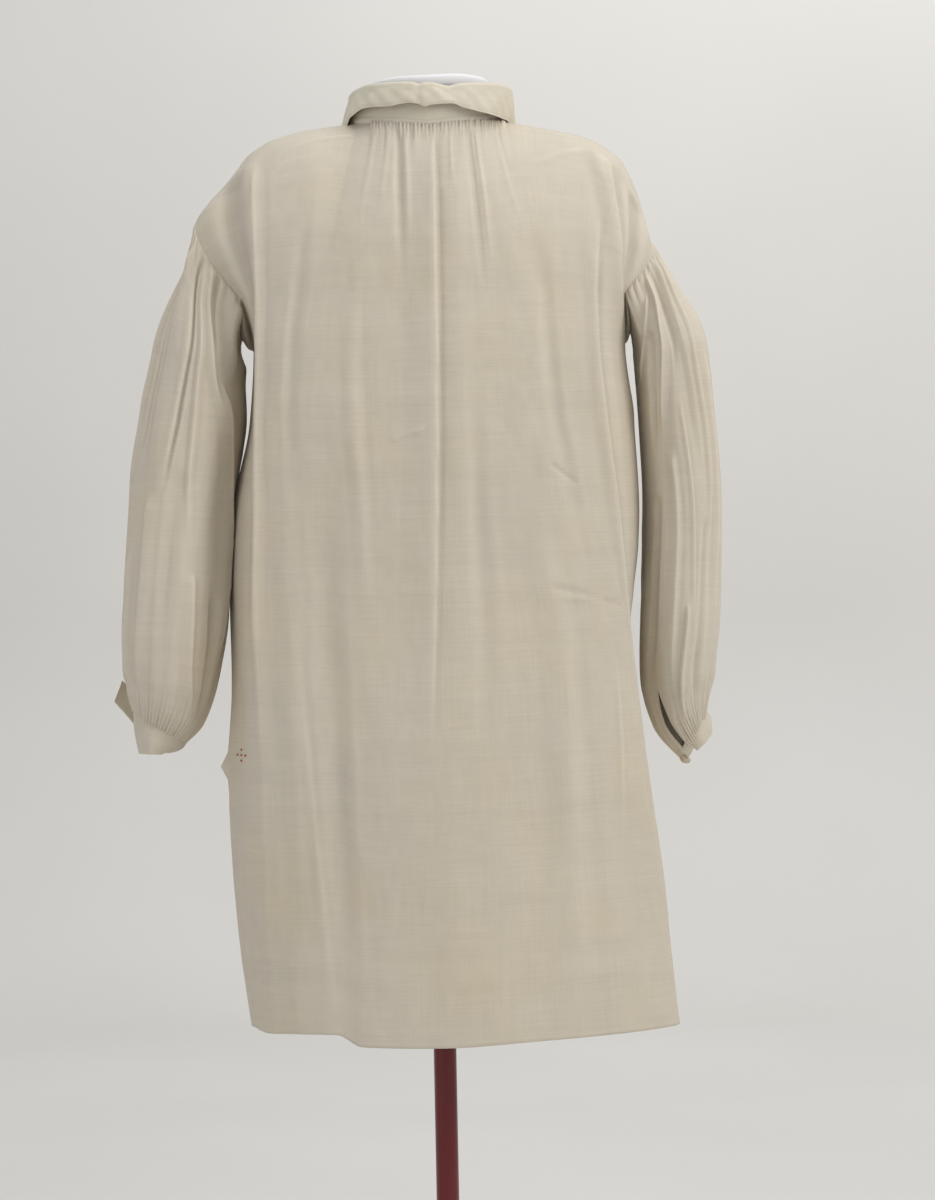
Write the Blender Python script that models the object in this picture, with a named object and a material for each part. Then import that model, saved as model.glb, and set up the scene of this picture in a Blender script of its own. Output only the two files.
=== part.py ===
# An old-fashioned linen shirt on a limbless dress form with a tube stand.
# Metres, +Z up. The base stands on the floor round the origin, the wearer's back
# faces -Y and the wearer's left side is at -X.
import math
from collections import namedtuple

import bpy
import bmesh
import numpy as np

# Walls and seams.
LINEN = 0.0015
DOUBLED = 0.002
SEAM = 0.0004
SLEEVE_SEAM = 0.0009

# The height where the dropped shoulders end and the two side seams begin.
UNDERARM_Z = 1.270
GUSSET_FOOT_Z = 1.216
HEM_Z = 0.468
FRONT_HEM_Z = 0.480
SLIT_DEPTH = 0.25
SLIT_WIDTH = 0.006
FRONT_LENGTH = 0.99

# The neck seam, an oval round the neck cap.
NECK_HALF_WIDTH = 0.085
NECK_HALF_DEPTH = 0.068
NECK_Y = -0.004
STRAP_FROM = math.radians(64)
STRAP_TO = math.radians(116)
GATHER_EDGE = 0.45

NeckHeight = namedtuple("NeckHeight", "angle z")
NECK_HEIGHTS = [
    NeckHeight(0.0, 1.452),
    NeckHeight(1.1, 1.461),
    NeckHeight(1.57, 1.463),
    NeckHeight(2.1, 1.456),
    NeckHeight(3.15, 1.438),
]

# The top of the shoulder, from the neck to the sleeve, on the left and the right.
Shoulder = namedtuple("Shoulder", "along left_x left_z right_x right_z half_strap")
SHOULDERS = [
    Shoulder(0.00, 0.0850, 1.4630, 0.0850, 1.4630, 0.030),
    Shoulder(0.25, 0.1250, 1.4590, 0.1300, 1.4545, 0.029),
    Shoulder(0.50, 0.1663, 1.4490, 0.1720, 1.4445, 0.028),
    Shoulder(0.70, 0.1941, 1.4335, 0.2073, 1.4229, 0.026),
    Shoulder(0.85, 0.2165, 1.4055, 0.2290, 1.3835, 0.024),
    Shoulder(1.00, 0.2337, 1.3815, 0.2427, 1.3300, 0.022),
]
STRAP_CROWN = 0.003

# Level sections of the body. y is the depth behind (back) or before (front) the side seams.
Section = namedtuple(
    "Section", "z left left_y left_ridge left_ridge_y centre_y right_ridge_y right_ridge right right_y"
)
BACK = [
    Section(1.270, -0.2040, 0.055, -0.1820, 0.090, 0.122, 0.090, 0.1805, 0.2120, 0.055),
    Section(1.216, -0.1950, 0.000, -0.1825, 0.094, 0.126, 0.094, 0.1810, 0.2120, 0.000),
    Section(1.140, -0.1975, 0.000, -0.1855, 0.097, 0.128, 0.097, 0.1870, 0.2215, 0.000),
    Section(1.050, -0.2140, 0.000, -0.1890, 0.099, 0.130, 0.099, 0.1960, 0.2230, 0.000),
    Section(0.940, -0.2235, 0.000, -0.1925, 0.100, 0.132, 0.100, 0.2055, 0.2120, 0.000),
    Section(0.840, -0.2270, 0.000, -0.1910, 0.100, 0.135, 0.100, 0.2150, 0.2080, 0.000),
    Section(0.764, -0.2320, 0.000, -0.1890, 0.100, 0.138, 0.100, 0.2225, 0.2140, 0.000),
    Section(0.620, -0.2270, 0.006, -0.1870, 0.098, 0.144, 0.102, 0.2385, 0.2260, 0.010),
    Section(0.468, -0.2110, 0.012, -0.1830, 0.096, 0.150, 0.104, 0.2535, 0.2400, 0.020),
]
FRONT = [
    Section(1.270, -0.2040, 0.055, -0.1760, 0.082, 0.104, 0.082, 0.1760, 0.2120, 0.055),
    Section(1.216, -0.1950, 0.000, -0.1760, 0.084, 0.106, 0.084, 0.1780, 0.2120, 0.000),
    Section(1.140, -0.1975, 0.000, -0.1780, 0.086, 0.108, 0.086, 0.1800, 0.2215, 0.000),
    Section(1.050, -0.2140, 0.000, -0.1800, 0.086, 0.108, 0.086, 0.1850, 0.2230, 0.000),
    Section(0.940, -0.2235, 0.000, -0.1840, 0.086, 0.106, 0.086, 0.1880, 0.2120, 0.000),
    Section(0.840, -0.2270, 0.000, -0.1860, 0.088, 0.107, 0.088, 0.1900, 0.2080, 0.000),
    Section(0.764, -0.2320, 0.000, -0.1880, 0.090, 0.108, 0.090, 0.1920, 0.2140, 0.000),
    Section(0.620, -0.2250, 0.004, -0.1880, 0.092, 0.112, 0.092, 0.1980, 0.2240, 0.006),
    Section(0.480, -0.2080, 0.008, -0.1860, 0.094, 0.116, 0.094, 0.2040, 0.2340, 0.012),
]
RIDGE_AT = 0.80

# How much the back's hem lies above its lowest point.
HemLift = namedtuple("HemLift", "across lift")
BACK_HEM = [
    HemLift(-1.00, 0.0100),
    HemLift(-0.62, 0.0135),
    HemLift(-0.46, 0.0140),
    HemLift(-0.34, 0.0015),
    HemLift(0.00, 0.0000),
    HemLift(0.31, 0.0055),
    HemLift(0.70, 0.0143),
    HemLift(1.00, 0.0180),
]

# Folds of the body: across runs from the left edge at -1 to the right edge at 1, down runs
# from the top edge at 0 to the hem at 1. A ridge has a positive height.
Fold = namedtuple("Fold", "across top bottom left_reach right_reach height")
BACK_FOLDS = [
    Fold(0.030, 0.01, 0.55, 0.090, 0.020, 0.0060),
    Fold(-0.160, 0.02, 0.30, 0.045, 0.045, -0.0045),
    Fold(0.210, 0.02, 0.28, 0.030, 0.050, -0.0040),
    Fold(-0.800, 0.03, 0.75, 0.060, 0.050, 0.0045),
    Fold(-0.880, 0.05, 0.24, 0.050, 0.050, -0.0080),
    Fold(0.880, 0.05, 0.30, 0.050, 0.050, -0.0070),
    Fold(0.790, 0.05, 0.80, 0.060, 0.040, 0.0040),
    Fold(-0.420, 0.45, 1.10, 0.080, 0.060, -0.0060),
    Fold(0.520, 0.45, 1.10, 0.090, 0.090, 0.0045),
    Fold(-0.620, 0.40, 1.00, 0.070, 0.070, 0.0035),
]
FRONT_FOLDS = [
    Fold(-0.200, 0.03, 0.60, 0.060, 0.040, 0.0050),
    Fold(0.240, 0.03, 0.55, 0.040, 0.060, 0.0050),
    Fold(-0.520, 0.25, 1.10, 0.070, 0.070, 0.0045),
    Fold(0.560, 0.35, 1.10, 0.080, 0.070, 0.0045),
    Fold(-0.880, 0.05, 0.24, 0.050, 0.050, -0.0070),
    Fold(0.880, 0.05, 0.30, 0.050, 0.050, -0.0070),
    Fold(0.060, 0.50, 1.10, 0.090, 0.080, -0.0040),
]
YOKE_PART = 0.24

# The fine gathers in the neck seam.
BACK_GATHERS = 40
FRONT_GATHERS = 16
GATHER_HEIGHT = 0.0014

# Rings of the sleeves: x is the distance from the middle, tilt raises the outer side.
Ring = namedtuple("Ring", "along x y z half_width half_depth tilt")
LEFT_RINGS = [
    Ring(0.00, 0.2310, 0.000, 1.3060, 0.060, 0.062, 62),
    Ring(0.10, 0.2430, 0.000, 1.2580, 0.050, 0.072, 45),
    Ring(0.20, 0.2520, 0.000, 1.2080, 0.050, 0.080, 18),
    Ring(0.34, 0.2610, 0.000, 1.1440, 0.0560, 0.083, 8),
    Ring(0.52, 0.2770, 0.000, 1.0540, 0.0580, 0.085, 4),
    Ring(0.76, 0.2878, -0.002, 0.9250, 0.0585, 0.082, 4),
    Ring(0.88, 0.2945, -0.003, 0.8640, 0.0535, 0.072, 12),
    Ring(0.95, 0.3000, -0.004, 0.8300, 0.0450, 0.056, 25),
    Ring(1.00, 0.3062, -0.004, 0.8090, 0.0330, 0.036, 33),
]
RIGHT_RINGS = [
    Ring(0.00, 0.2360, 0.000, 1.2900, 0.045, 0.062, 70),
    Ring(0.10, 0.2520, 0.000, 1.2480, 0.042, 0.072, 45),
    Ring(0.20, 0.2640, 0.000, 1.2050, 0.042, 0.078, 16),
    Ring(0.34, 0.2685, 0.000, 1.1320, 0.0420, 0.080, 4),
    Ring(0.52, 0.2730, 0.002, 1.0440, 0.0430, 0.082, 0),
    Ring(0.76, 0.2680, 0.004, 0.9130, 0.0440, 0.080, 0),
    Ring(0.88, 0.2650, 0.006, 0.8550, 0.0430, 0.070, 12),
    Ring(0.95, 0.2690, 0.010, 0.8180, 0.0380, 0.054, 34),
    Ring(1.00, 0.2800, 0.016, 0.7880, 0.0280, 0.034, 60),
]
GUSSET_SLEEVE_Z = 1.231
GUSSET_SLEEVE_X = {-1: 0.2085, 1: 0.2200}
HEAD_BLEND = 0.20

SleeveFold = namedtuple("SleeveFold", "around top bottom reach_in reach_out height")
LEFT_SLEEVE_FOLDS = [
    SleeveFold(0.40, 0.02, 0.55, 0.030, 0.015, 0.0060),
    SleeveFold(0.315, 0.02, 0.40, 0.025, 0.015, 0.0055),
    SleeveFold(0.225, 0.02, 0.75, 0.015, 0.030, 0.0055),
    SleeveFold(0.275, 0.50, 0.99, 0.030, 0.025, -0.0050),
    SleeveFold(0.175, 0.55, 0.99, 0.025, 0.025, -0.0045),
    SleeveFold(0.390, 0.60, 0.99, 0.020, 0.030, -0.0045),
    SleeveFold(0.620, 0.03, 0.60, 0.030, 0.020, 0.0055),
    SleeveFold(0.740, 0.03, 0.70, 0.020, 0.030, 0.0055),
    SleeveFold(0.700, 0.60, 0.99, 0.025, 0.025, -0.0050),
    SleeveFold(0.810, 0.55, 0.99, 0.025, 0.025, -0.0045),
]
RIGHT_SLEEVE_FOLDS = [
    SleeveFold(0.42, 0.02, 0.60, 0.030, 0.015, 0.0060),
    SleeveFold(0.32, 0.02, 0.50, 0.030, 0.015, 0.0060),
    SleeveFold(0.225, 0.05, 0.45, 0.020, 0.025, 0.0045),
    SleeveFold(0.360, 0.45, 0.99, 0.030, 0.025, 0.0050),
    SleeveFold(0.260, 0.50, 0.97, 0.025, 0.025, -0.0040),
    SleeveFold(0.620, 0.03, 0.60, 0.030, 0.020, 0.0055),
    SleeveFold(0.740, 0.03, 0.70, 0.020, 0.030, 0.0055),
    SleeveFold(0.700, 0.60, 0.99, 0.025, 0.025, -0.0050),
    SleeveFold(0.560, 0.55, 0.99, 0.025, 0.025, -0.0045),
]
HEAD_PLEATS = 14
HEAD_PLEAT_HEIGHT = 0.0014
WRIST_GATHERS = 40
WRIST_GATHER_HEIGHT = 0.0012

# Where the wrist slit and the cuff's gap are, as a part of the way round, and the cuffs' run.
SLIT_AT = {-1: 0.50, 1: 0.14}
SLIT_FROM = 0.86
SLIT_HALF = 0.018
CUFF_OFF = {-1: 0.0026, 1: 0.0020}
CUFF_GAP = 0.045
CUFF_FOOT = {
    -1: Ring(1.00, 0.3125, -0.004, 0.7800, 0.0155, 0.040, 0),
    1: Ring(1.00, 0.2880, 0.030, 0.7730, 0.0206, 0.036, 51),
}
TAB_OUT = {-1: 0.034, 1: 0.004}
TAB_LIFT = 1.4
TAB_TO = 0.22

# Collar and neckband.
NECKBAND_HEIGHT = 0.0062
COLLAR_HALF_GAP = math.radians(9)
COLLAR_STAND = 0.031
COLLAR_TURN = 0.0035
COLLAR_LEAN = 0.0004
CollarFall = namedtuple("CollarFall", "angle length spread")
COLLAR_FALLS = [
    CollarFall(0.00, 0.023, 0.003),
    CollarFall(0.60, 0.021, 0.003),
    CollarFall(1.20, 0.024, 0.005),
    CollarFall(1.57, 0.027, 0.005),
    CollarFall(2.00, 0.024, 0.009),
    CollarFall(2.40, 0.028, 0.015),
    CollarFall(3.00, 0.036, 0.022),
]

# Vent gussets, buttons.
VENT_Z = 0.764
VENT_HALF_WIDTH = 0.0048
VENT_OFF = {-1: 0.0003, 1: 0.0014}
VENT_STAND = 0.0085
BUTTON_RADIUS = 0.0045
BUTTON_THICK = 0.0022
BUTTON_OFF = 0.0006
COLLAR_BUTTON_ANGLE = math.radians(165.3)
COLLAR_BUTTON_UP = 0.0078
CUFF_BUTTON_IN = 0.07
CUFF_BUTTON_OFF = 0.0009

# Dress form and stand. A power below 1 squares the form's level sections.
FORM_SQUARE = 0.92
FIT = 0.0003
FormSection = namedtuple("FormSection", "z half_width back front")
FORM = [
    FormSection(0.760, 0.150, 0.098, 0.092),
    FormSection(0.800, 0.162, 0.104, 0.096),
    FormSection(0.900, 0.160, 0.098, 0.092),
    FormSection(1.000, 0.146, 0.088, 0.088),
    FormSection(1.100, 0.152, 0.094, 0.093),
    FormSection(1.220, 0.160, 0.104, 0.096),
    FormSection(1.300, 0.170, 0.104, 0.092),
    FormSection(1.370, 0.1800, 0.094, 0.080),
    FormSection(1.4095, 0.1790, 0.080, 0.064),
    FormSection(1.4305, 0.1700, 0.066, 0.050),
    FormSection(1.4434, 0.1530, 0.056, 0.042),
    FormSection(1.4506, 0.1280, 0.050, 0.036),
    FormSection(1.4549, 0.1040, 0.048, 0.036),
    FormSection(1.4580, 0.0830, 0.048, 0.036),
    FormSection(1.4620, 0.0720, 0.054, 0.044),
    FormSection(1.476, 0.0690, 0.055, 0.048),
]
CAP_RADIUS = 0.067
CAP_DEPTH = 0.055
CAP_FROM_Z = 1.4765
CAP_TOP_Z = 1.507
POLE_RADIUS = 0.0125
SOCKET_RADIUS = 0.024
BASE_RADIUS = 0.200
BASE_THICK = 0.012
SOCKET_FROM_Z = 0.742

LINEN_COLOUR = (0.58, 0.53, 0.44)
COVER_COLOUR = (0.86, 0.86, 0.86)
RED_COLOUR = (0.115, 0.008, 0.010)
BUTTON_COLOUR = (0.72, 0.68, 0.58)
STEEL_COLOUR = (0.10, 0.10, 0.10)


def column(rows, name):
    return np.array([getattr(row, name) for row in rows], dtype=float)


def read(rows, key, name, at):
    """A column of a table at any place between its rows, on a curve that never overshoots."""
    x = column(rows, key)
    y = column(rows, name)
    if x[0] > x[-1]:
        x = x[::-1]
        y = y[::-1]
    return curve(x, y, at)


def curve(x, y, at):
    """A smooth curve through the points (x, y) that never overshoots them."""
    x = np.asarray(x, dtype=float)
    y = np.asarray(y, dtype=float)
    step = np.diff(x)
    rise = np.diff(y, axis=0) / step.reshape((-1,) + (1,) * (y.ndim - 1))
    slope = np.zeros_like(y)
    same = rise[:-1] * rise[1:] > 0
    total = np.where(same, rise[:-1] + rise[1:], 1.0)
    slope[1:-1] = np.where(same, 2 * rise[:-1] * rise[1:] / total, 0.0)
    slope[0] = rise[0]
    slope[-1] = rise[-1]
    at = np.clip(np.asarray(at, dtype=float), x[0], x[-1])
    i = np.clip(np.searchsorted(x, at, side="right") - 1, 0, len(x) - 2)
    t = (at - x[i]) / step[i]
    h = step[i]
    if y.ndim > 1:
        t = t[..., None]
        h = h[..., None]
    return (
        (2 * t**3 - 3 * t**2 + 1) * y[i]
        + (t**3 - 2 * t**2 + t) * h * slope[i]
        + (3 * t**2 - 2 * t**3) * y[i + 1]
        + (t**3 - t**2) * h * slope[i + 1]
    )


def ease(t):
    t = np.clip(t, 0.0, 1.0)
    return t * t * (3 - 2 * t)


def unit(v):
    return v / np.maximum(np.linalg.norm(v, axis=-1, keepdims=True), 1e-12)


def neck_point(angle):
    """The neck seam: angle 0 at the back, positive towards the right."""
    from_back = np.abs((angle + math.pi) % (2 * math.pi) - math.pi)
    z = read(NECK_HEIGHTS, "angle", "z", from_back)
    x = NECK_HALF_WIDTH * np.sin(angle)
    y = NECK_Y - NECK_HALF_DEPTH * np.cos(angle)
    return np.stack([x, y, z], axis=-1)


def strap_point(hand, along, across):
    """The shoulder strap: along from neck 0 to sleeve 1, across from back -1 to front 1."""
    side = "left" if hand < 0 else "right"
    x = hand * read(SHOULDERS, "along", side + "_x", along)
    z = read(SHOULDERS, "along", side + "_z", along)
    half = read(SHOULDERS, "along", "half_strap", along)
    out = ease((along - 0.7) / 0.3)
    drop = STRAP_CROWN * across**2
    top = np.stack([x - hand * drop * out, half * across, z - drop], axis=-1)
    middle = (STRAP_FROM + STRAP_TO) / 2
    angle = hand * (middle + (STRAP_TO - STRAP_FROM) / 2 * across)
    near_neck = (1 - ease(along / 0.18))[..., None]
    return near_neck * neck_point(angle) + (1 - near_neck) * top


def top_edge(face, u):
    """The top edge of the back (face -1) or the front (face 1), from left to right."""
    reach = STRAP_FROM if face < 0 else math.pi - STRAP_TO
    turn = np.clip(u / GATHER_EDGE, -1, 1) * reach
    angle = turn if face < 0 else math.pi - turn
    neck = neck_point(angle)
    along = np.clip((np.abs(u) - GATHER_EDGE) / (1 - GATHER_EDGE), 0, 1)
    on_strap = np.where(
        (u < 0)[..., None],
        strap_point(-1, along, face * np.ones_like(along)),
        strap_point(1, along, face * np.ones_like(along)),
    )
    return np.where((np.abs(u) < GATHER_EDGE)[..., None], neck, on_strap)


def section_point(rows, face, z, u):
    """A level section of the body at height z."""
    left = [read(rows, "z", name, z) for name in ("left", "left_ridge")]
    right = [read(rows, "z", name, z) for name in ("right_ridge", "right")]
    xs = np.stack(left + [np.zeros_like(z)] + right)
    depths = ("left_y", "left_ridge_y", "centre_y", "right_ridge_y", "right_y")
    ys = np.stack([read(rows, "z", name, z) for name in depths])
    x = section_curve(xs, u)
    y = section_curve(ys, u)
    return np.stack([x, face * y, z], axis=-1)


def section_curve(values, u):
    """A curve through five values at the side, ridge, centre, ridge and side."""
    places = np.array([-1.0, -RIDGE_AT, 0.0, RIDGE_AT, 1.0])
    step = np.diff(places)
    rise = np.diff(values, axis=0) / step[:, None]
    slope = np.zeros_like(values)
    same = rise[:-1] * rise[1:] > 0
    total = np.where(same, rise[:-1] + rise[1:], 1.0)
    slope[1:-1] = np.where(same, 2 * rise[:-1] * rise[1:] / total, 0.0)
    slope[0] = rise[0]
    slope[-1] = rise[-1]
    i = np.clip(np.searchsorted(places, u, side="right") - 1, 0, 3)
    k = np.arange(u.size)
    h = step[i]
    t = (u - places[i]) / h
    return (
        (2 * t**3 - 3 * t**2 + 1) * values[i, k]
        + (t**3 - 2 * t**2 + t) * h * slope[i, k]
        + (3 * t**2 - 2 * t**3) * values[i + 1, k]
        + (t**3 - t**2) * h * slope[i + 1, k]
    )


def body_point(face, u, v):
    """The smooth back (face -1) or front (face 1): u -1 to 1 across, v 0 to 1 down."""
    u, v = np.broadcast_arrays(np.asarray(u, float), np.asarray(v, float))
    shape = u.shape
    u = u.ravel()
    v = v.ravel()
    rows = BACK if face < 0 else FRONT
    hem = HEM_Z + read(BACK_HEM, "across", "lift", u) if face < 0 else np.full_like(u, FRONT_HEM_Z)
    down = np.clip((v - YOKE_PART) / (1 - YOKE_PART), 0, 1)
    trunk = section_point(rows, face, UNDERARM_Z - (UNDERARM_Z - hem) * down, u)
    top = top_edge(face, u)
    chest = section_point(rows, face, np.full_like(u, UNDERARM_Z), u)
    start = np.radians(34 - 24 * ease((np.abs(u) - 0.25) / 0.35))
    turn = start + (math.pi / 2 - start) * np.clip(v / YOKE_PART, 0, 1)
    out = (np.sin(turn) - np.sin(start)) / (1 - np.sin(start))
    fall = (np.cos(start) - np.cos(turn)) / np.cos(start)
    arm = ease((np.abs(u) - 0.80) / 0.20)
    bulge = np.where(u < 0, -0.030, 0.010) * arm * np.sin(math.pi * np.clip(v / YOKE_PART, 0, 1))
    yoke = np.stack(
        [
            top[:, 0] + (chest[:, 0] - top[:, 0]) * fall + bulge,
            top[:, 1] + (chest[:, 1] - top[:, 1]) * out,
            top[:, 2] + (chest[:, 2] - top[:, 2]) * fall,
        ],
        axis=-1,
    )
    return np.where((v < YOKE_PART)[:, None], yoke, trunk).reshape(shape + (3,))


def bump(x, left, right):
    """A fold's profile: 1 at its line, falling to 0 at its two reaches."""
    t = np.where(x < 0, -x / left, x / right)
    return 1 - ease(t)


def fold_height(folds, u, v):
    """The folds' height out of the smooth cloth, fading in and out along each fold."""
    height = np.zeros_like(u)
    for fold in folds:
        length = fold.bottom - fold.top
        fade = ease((v - fold.top) / (0.15 * length)) * ease((fold.bottom - v) / (0.35 * length))
        height = height + fold.height * fade * bump(u - fold.across, fold.left_reach, fold.right_reach)
    return height


def body_normal(face, u, v):
    """The outward normal of the smooth body."""
    e = 0.002
    across = body_point(face, np.minimum(u + e, 1), v) - body_point(face, np.maximum(u - e, -1), v)
    down = body_point(face, u, np.minimum(v + e, 1)) - body_point(face, u, np.maximum(v - e, 0))
    return unit(np.cross(down, across) if face < 0 else np.cross(across, down))


def body_cloth(face, u, v):
    """The folded cloth and its outward normal."""
    u, v = np.broadcast_arrays(np.asarray(u, float), np.asarray(v, float))
    normal = body_normal(face, u, v)
    edge = ease((1 - np.abs(u)) / 0.05)
    height = fold_height(BACK_FOLDS if face < 0 else FRONT_FOLDS, u, v) * edge
    side = np.stack([np.sign(u), np.zeros_like(u), np.zeros_like(u)], axis=-1)
    seamed = ((np.abs(u) > 0.999) & (v > YOKE_PART + 0.02))[..., None]
    return body_point(face, u, v) + normal * height[..., None], np.where(seamed, side, normal)


def zigzag(count, start, end):
    """Places for gathers: a crest and a hollow for each."""
    return np.linspace(start, end, 2 * count + 1)


def stitch(a, b, places_a, places_b, faces):
    """Joins two rows of points, which may have different counts, with triangles."""
    i = 0
    j = 0
    while i < len(a) - 1 or j < len(b) - 1:
        next_a = places_a[i + 1] if i < len(a) - 1 else math.inf
        next_b = places_b[j + 1] if j < len(b) - 1 else math.inf
        if abs(next_a - next_b) < 1e-9:
            faces.append((a[i], a[i + 1], b[j + 1]))
            faces.append((a[i], b[j + 1], b[j]))
            i += 1
            j += 1
        elif next_a < next_b:
            faces.append((a[i], a[i + 1], b[j]))
            i += 1
        else:
            faces.append((a[i], b[j + 1], b[j]))
            j += 1


class Wall:
    """Collects points, merged where they meet, and the triangles of one piece."""

    def __init__(self, name, material):
        self.name = name
        self.material = material
        self.points = []
        self.faces = []
        self.known = {}

    def add(self, row):
        indices = []
        for point in row:
            key = tuple(round(float(value) * 1e6) for value in point)
            if key not in self.known:
                self.known[key] = len(self.points)
                self.points.append(tuple(float(value) for value in point))
            indices.append(self.known[key])
        return indices

    def sheet(self, outer, inner, places, first_open, last_open, top_open=True, bottom_open=True):
        """A wall between outer and inner rows. places has the outer's and the inner's columns."""
        outer_places, inner_places = places
        outer = [self.add(row) for row in outer]
        inner = [self.add(row) for row in inner]
        for r in range(len(outer) - 1):
            stitch(outer[r], outer[r + 1], outer_places[r], outer_places[r + 1], self.faces)
            stitch(inner[r + 1], inner[r], inner_places[r + 1], inner_places[r], self.faces)
            if first_open[r]:
                self.quad(outer[r][0], outer[r + 1][0], inner[r + 1][0], inner[r][0])
            if last_open[r]:
                self.quad(inner[r][-1], inner[r + 1][-1], outer[r + 1][-1], outer[r][-1])
        if top_open:
            stitch(inner[0], outer[0], inner_places[0], outer_places[0], self.faces)
        if bottom_open:
            stitch(outer[-1], inner[-1], outer_places[-1], inner_places[-1], self.faces)

    def quad(self, a, b, c, d):
        self.faces.append((a, b, c))
        self.faces.append((a, c, d))

    def build(self):
        mesh = bpy.data.meshes.new(self.name)
        faces = [face for face in self.faces if len(set(face)) == 3]
        mesh.from_pydata(self.points, [], faces)
        shape = bmesh.new()
        shape.from_mesh(mesh)
        bmesh.ops.recalc_face_normals(shape, faces=shape.faces)
        if shape.calc_volume(signed=True) < 0:
            bmesh.ops.reverse_faces(shape, faces=shape.faces)
        shape.to_mesh(mesh)
        shape.free()
        mesh.materials.append(self.material)
        obj = bpy.data.objects.new(self.name, mesh)
        bpy.context.scene.collection.objects.link(obj)
        mesh.shade_smooth()
        mesh.set_sharp_from_angle(angle=math.radians(50))
        return obj


def make_material(name, colour, roughness, metallic=0.0):
    material = bpy.data.materials.new(name)
    material.use_nodes = True
    shader = material.node_tree.nodes["Principled BSDF"]
    shader.inputs["Base Color"].default_value = (*colour, 1.0)
    shader.inputs["Roughness"].default_value = roughness
    shader.inputs["Metallic"].default_value = metallic
    return material


BODY_COLUMNS = {
    -1: [-1, -0.96, -0.92, -0.88, -0.84, -0.80, -0.75, -0.68, -0.61, -0.54, -0.47, -0.41, -0.35, -0.28]
    + [-0.21, -0.16, -0.11, -0.05, 0.0, 0.03, 0.052, 0.10, 0.16, 0.21, 0.26, 0.34, 0.42, 0.50, 0.58]
    + [0.66, 0.73, 0.79, 0.84, 0.88, 0.92, 0.96, 1],
    1: [-1, -0.95, -0.90, -0.85, -0.80, -0.72, -0.62, -0.52, -0.42, -0.32, -0.24, -0.20, -0.16, -0.08, 0.0]
    + [0.08, 0.16, 0.20, 0.24, 0.32, 0.42, 0.52, 0.62, 0.72, 0.80, 0.85, 0.90, 0.95, 1],
}
BODY_ROWS = [0.0, 0.011, 0.03, 0.055, 0.085, 0.12, 0.16, 0.20, 0.24, 0.291, 0.35, 0.42, 0.49, 0.56, 0.62]
BODY_ROWS += [0.68, 0.74, 0.80, 0.86, 0.92, 0.97, 1.0]


def gathered_columns(face):
    """The outer columns of the top rows: dense near the neck seam, where the gathers are."""
    base = [c for c in BODY_COLUMNS[face] if abs(c) > GATHER_EDGE]
    count = BACK_GATHERS if face < 0 else FRONT_GATHERS
    if face < 0:
        fine = list(zigzag(count, -0.38, 0.44))
    else:
        fine = list(zigzag(count, -0.40, -0.02)) + list(zigzag(count, 0.02, 0.40))
    return np.array(sorted(set(base) | {round(c, 5) for c in fine} | {0.0 if face > 0 else 0.44}))


def gather_relief(face, u, row):
    """Raised crests beside the neck seam."""
    count = BACK_GATHERS if face < 0 else FRONT_GATHERS
    spans = [(-0.38, 0.44)] if face < 0 else [(-0.40, -0.02), (0.02, 0.40)]
    height = np.zeros_like(u)
    for start, end in spans:
        place = (u - start) / (end - start) * count
        inside = (place > 0) & (place < count)
        wave = 1 - np.abs(2 * (place - np.floor(place)) - 1)
        height = np.where(inside, wave, height)
    return GATHER_HEIGHT * height * (1.0, 0.9)[row]


def make_back(material):
    wall = Wall("back", material)
    outer = []
    inner = []
    outer_places = []
    inner_places = []
    columns = np.array(BODY_COLUMNS[-1], float)
    for index, v in enumerate(BODY_ROWS):
        across = gathered_columns(-1) if index < 2 else columns
        cloth, normal = body_cloth(-1, across, np.full_like(across, v))
        if index < 2:
            cloth = cloth + normal * gather_relief(-1, across, index)[:, None]
        base, inward = body_cloth(-1, columns, np.full_like(columns, v))
        outer.append(seam_shift(cloth, -1, across, v))
        inner.append(seam_shift(base - inward * LINEN, -1, columns, v))
        outer_places.append(across)
        inner_places.append(columns)
    open_rows = [True] * (len(BODY_ROWS) - 1)
    wall.sheet(outer, inner, (outer_places, inner_places), open_rows, open_rows)
    return wall.build()


def seam_shift(points, face, across, v):
    """Half a seam's gap between the back and the front at their side edges."""
    points = points.copy()
    side = (np.abs(across) > 0.999) & (v > YOKE_PART)
    points[side, 1] = face * np.maximum(face * points[side, 1], SEAM / 2)
    return points


def make_front(material):
    """The front, slit from the neck. Its halves share one column below the slit."""
    wall = Wall("front", material)
    columns = np.array(BODY_COLUMNS[1], float)
    slit_rows = [v * FRONT_LENGTH < SLIT_DEPTH for v in BODY_ROWS]
    for hand in (-1, 1):
        outer = []
        inner = []
        outer_places = []
        inner_places = []
        for index, v in enumerate(BODY_ROWS):
            across = gathered_columns(1) if index < 2 else columns
            across = across[hand * across >= 0]
            plain = columns[hand * columns >= 0]
            cloth, normal = body_cloth(1, across, np.full_like(across, v))
            if index < 2:
                cloth = cloth + normal * gather_relief(1, across, index)[:, None]
            base, inward = body_cloth(1, plain, np.full_like(plain, v))
            under = base - inward * LINEN
            if slit_rows[index]:
                cloth = part_slit(cloth, across, hand)
                under = part_slit(under, plain, hand)
            outer.append(seam_shift(cloth, 1, across, v))
            inner.append(seam_shift(under, 1, plain, v))
            outer_places.append(across)
            inner_places.append(plain)
        edge = [True] * (len(BODY_ROWS) - 1)
        slit = slit_rows[:-1]
        first = edge if hand < 0 else slit
        last = slit if hand < 0 else edge
        wall.sheet(outer, inner, (outer_places, inner_places), first, last)
    return wall.build()



def part_slit(points, across, hand):
    """Moves the middle column half the slit's width to its own side."""
    points = points.copy()
    points[np.abs(across) < 1e-9, 0] += hand * SLIT_WIDTH / 2
    return points


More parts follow.
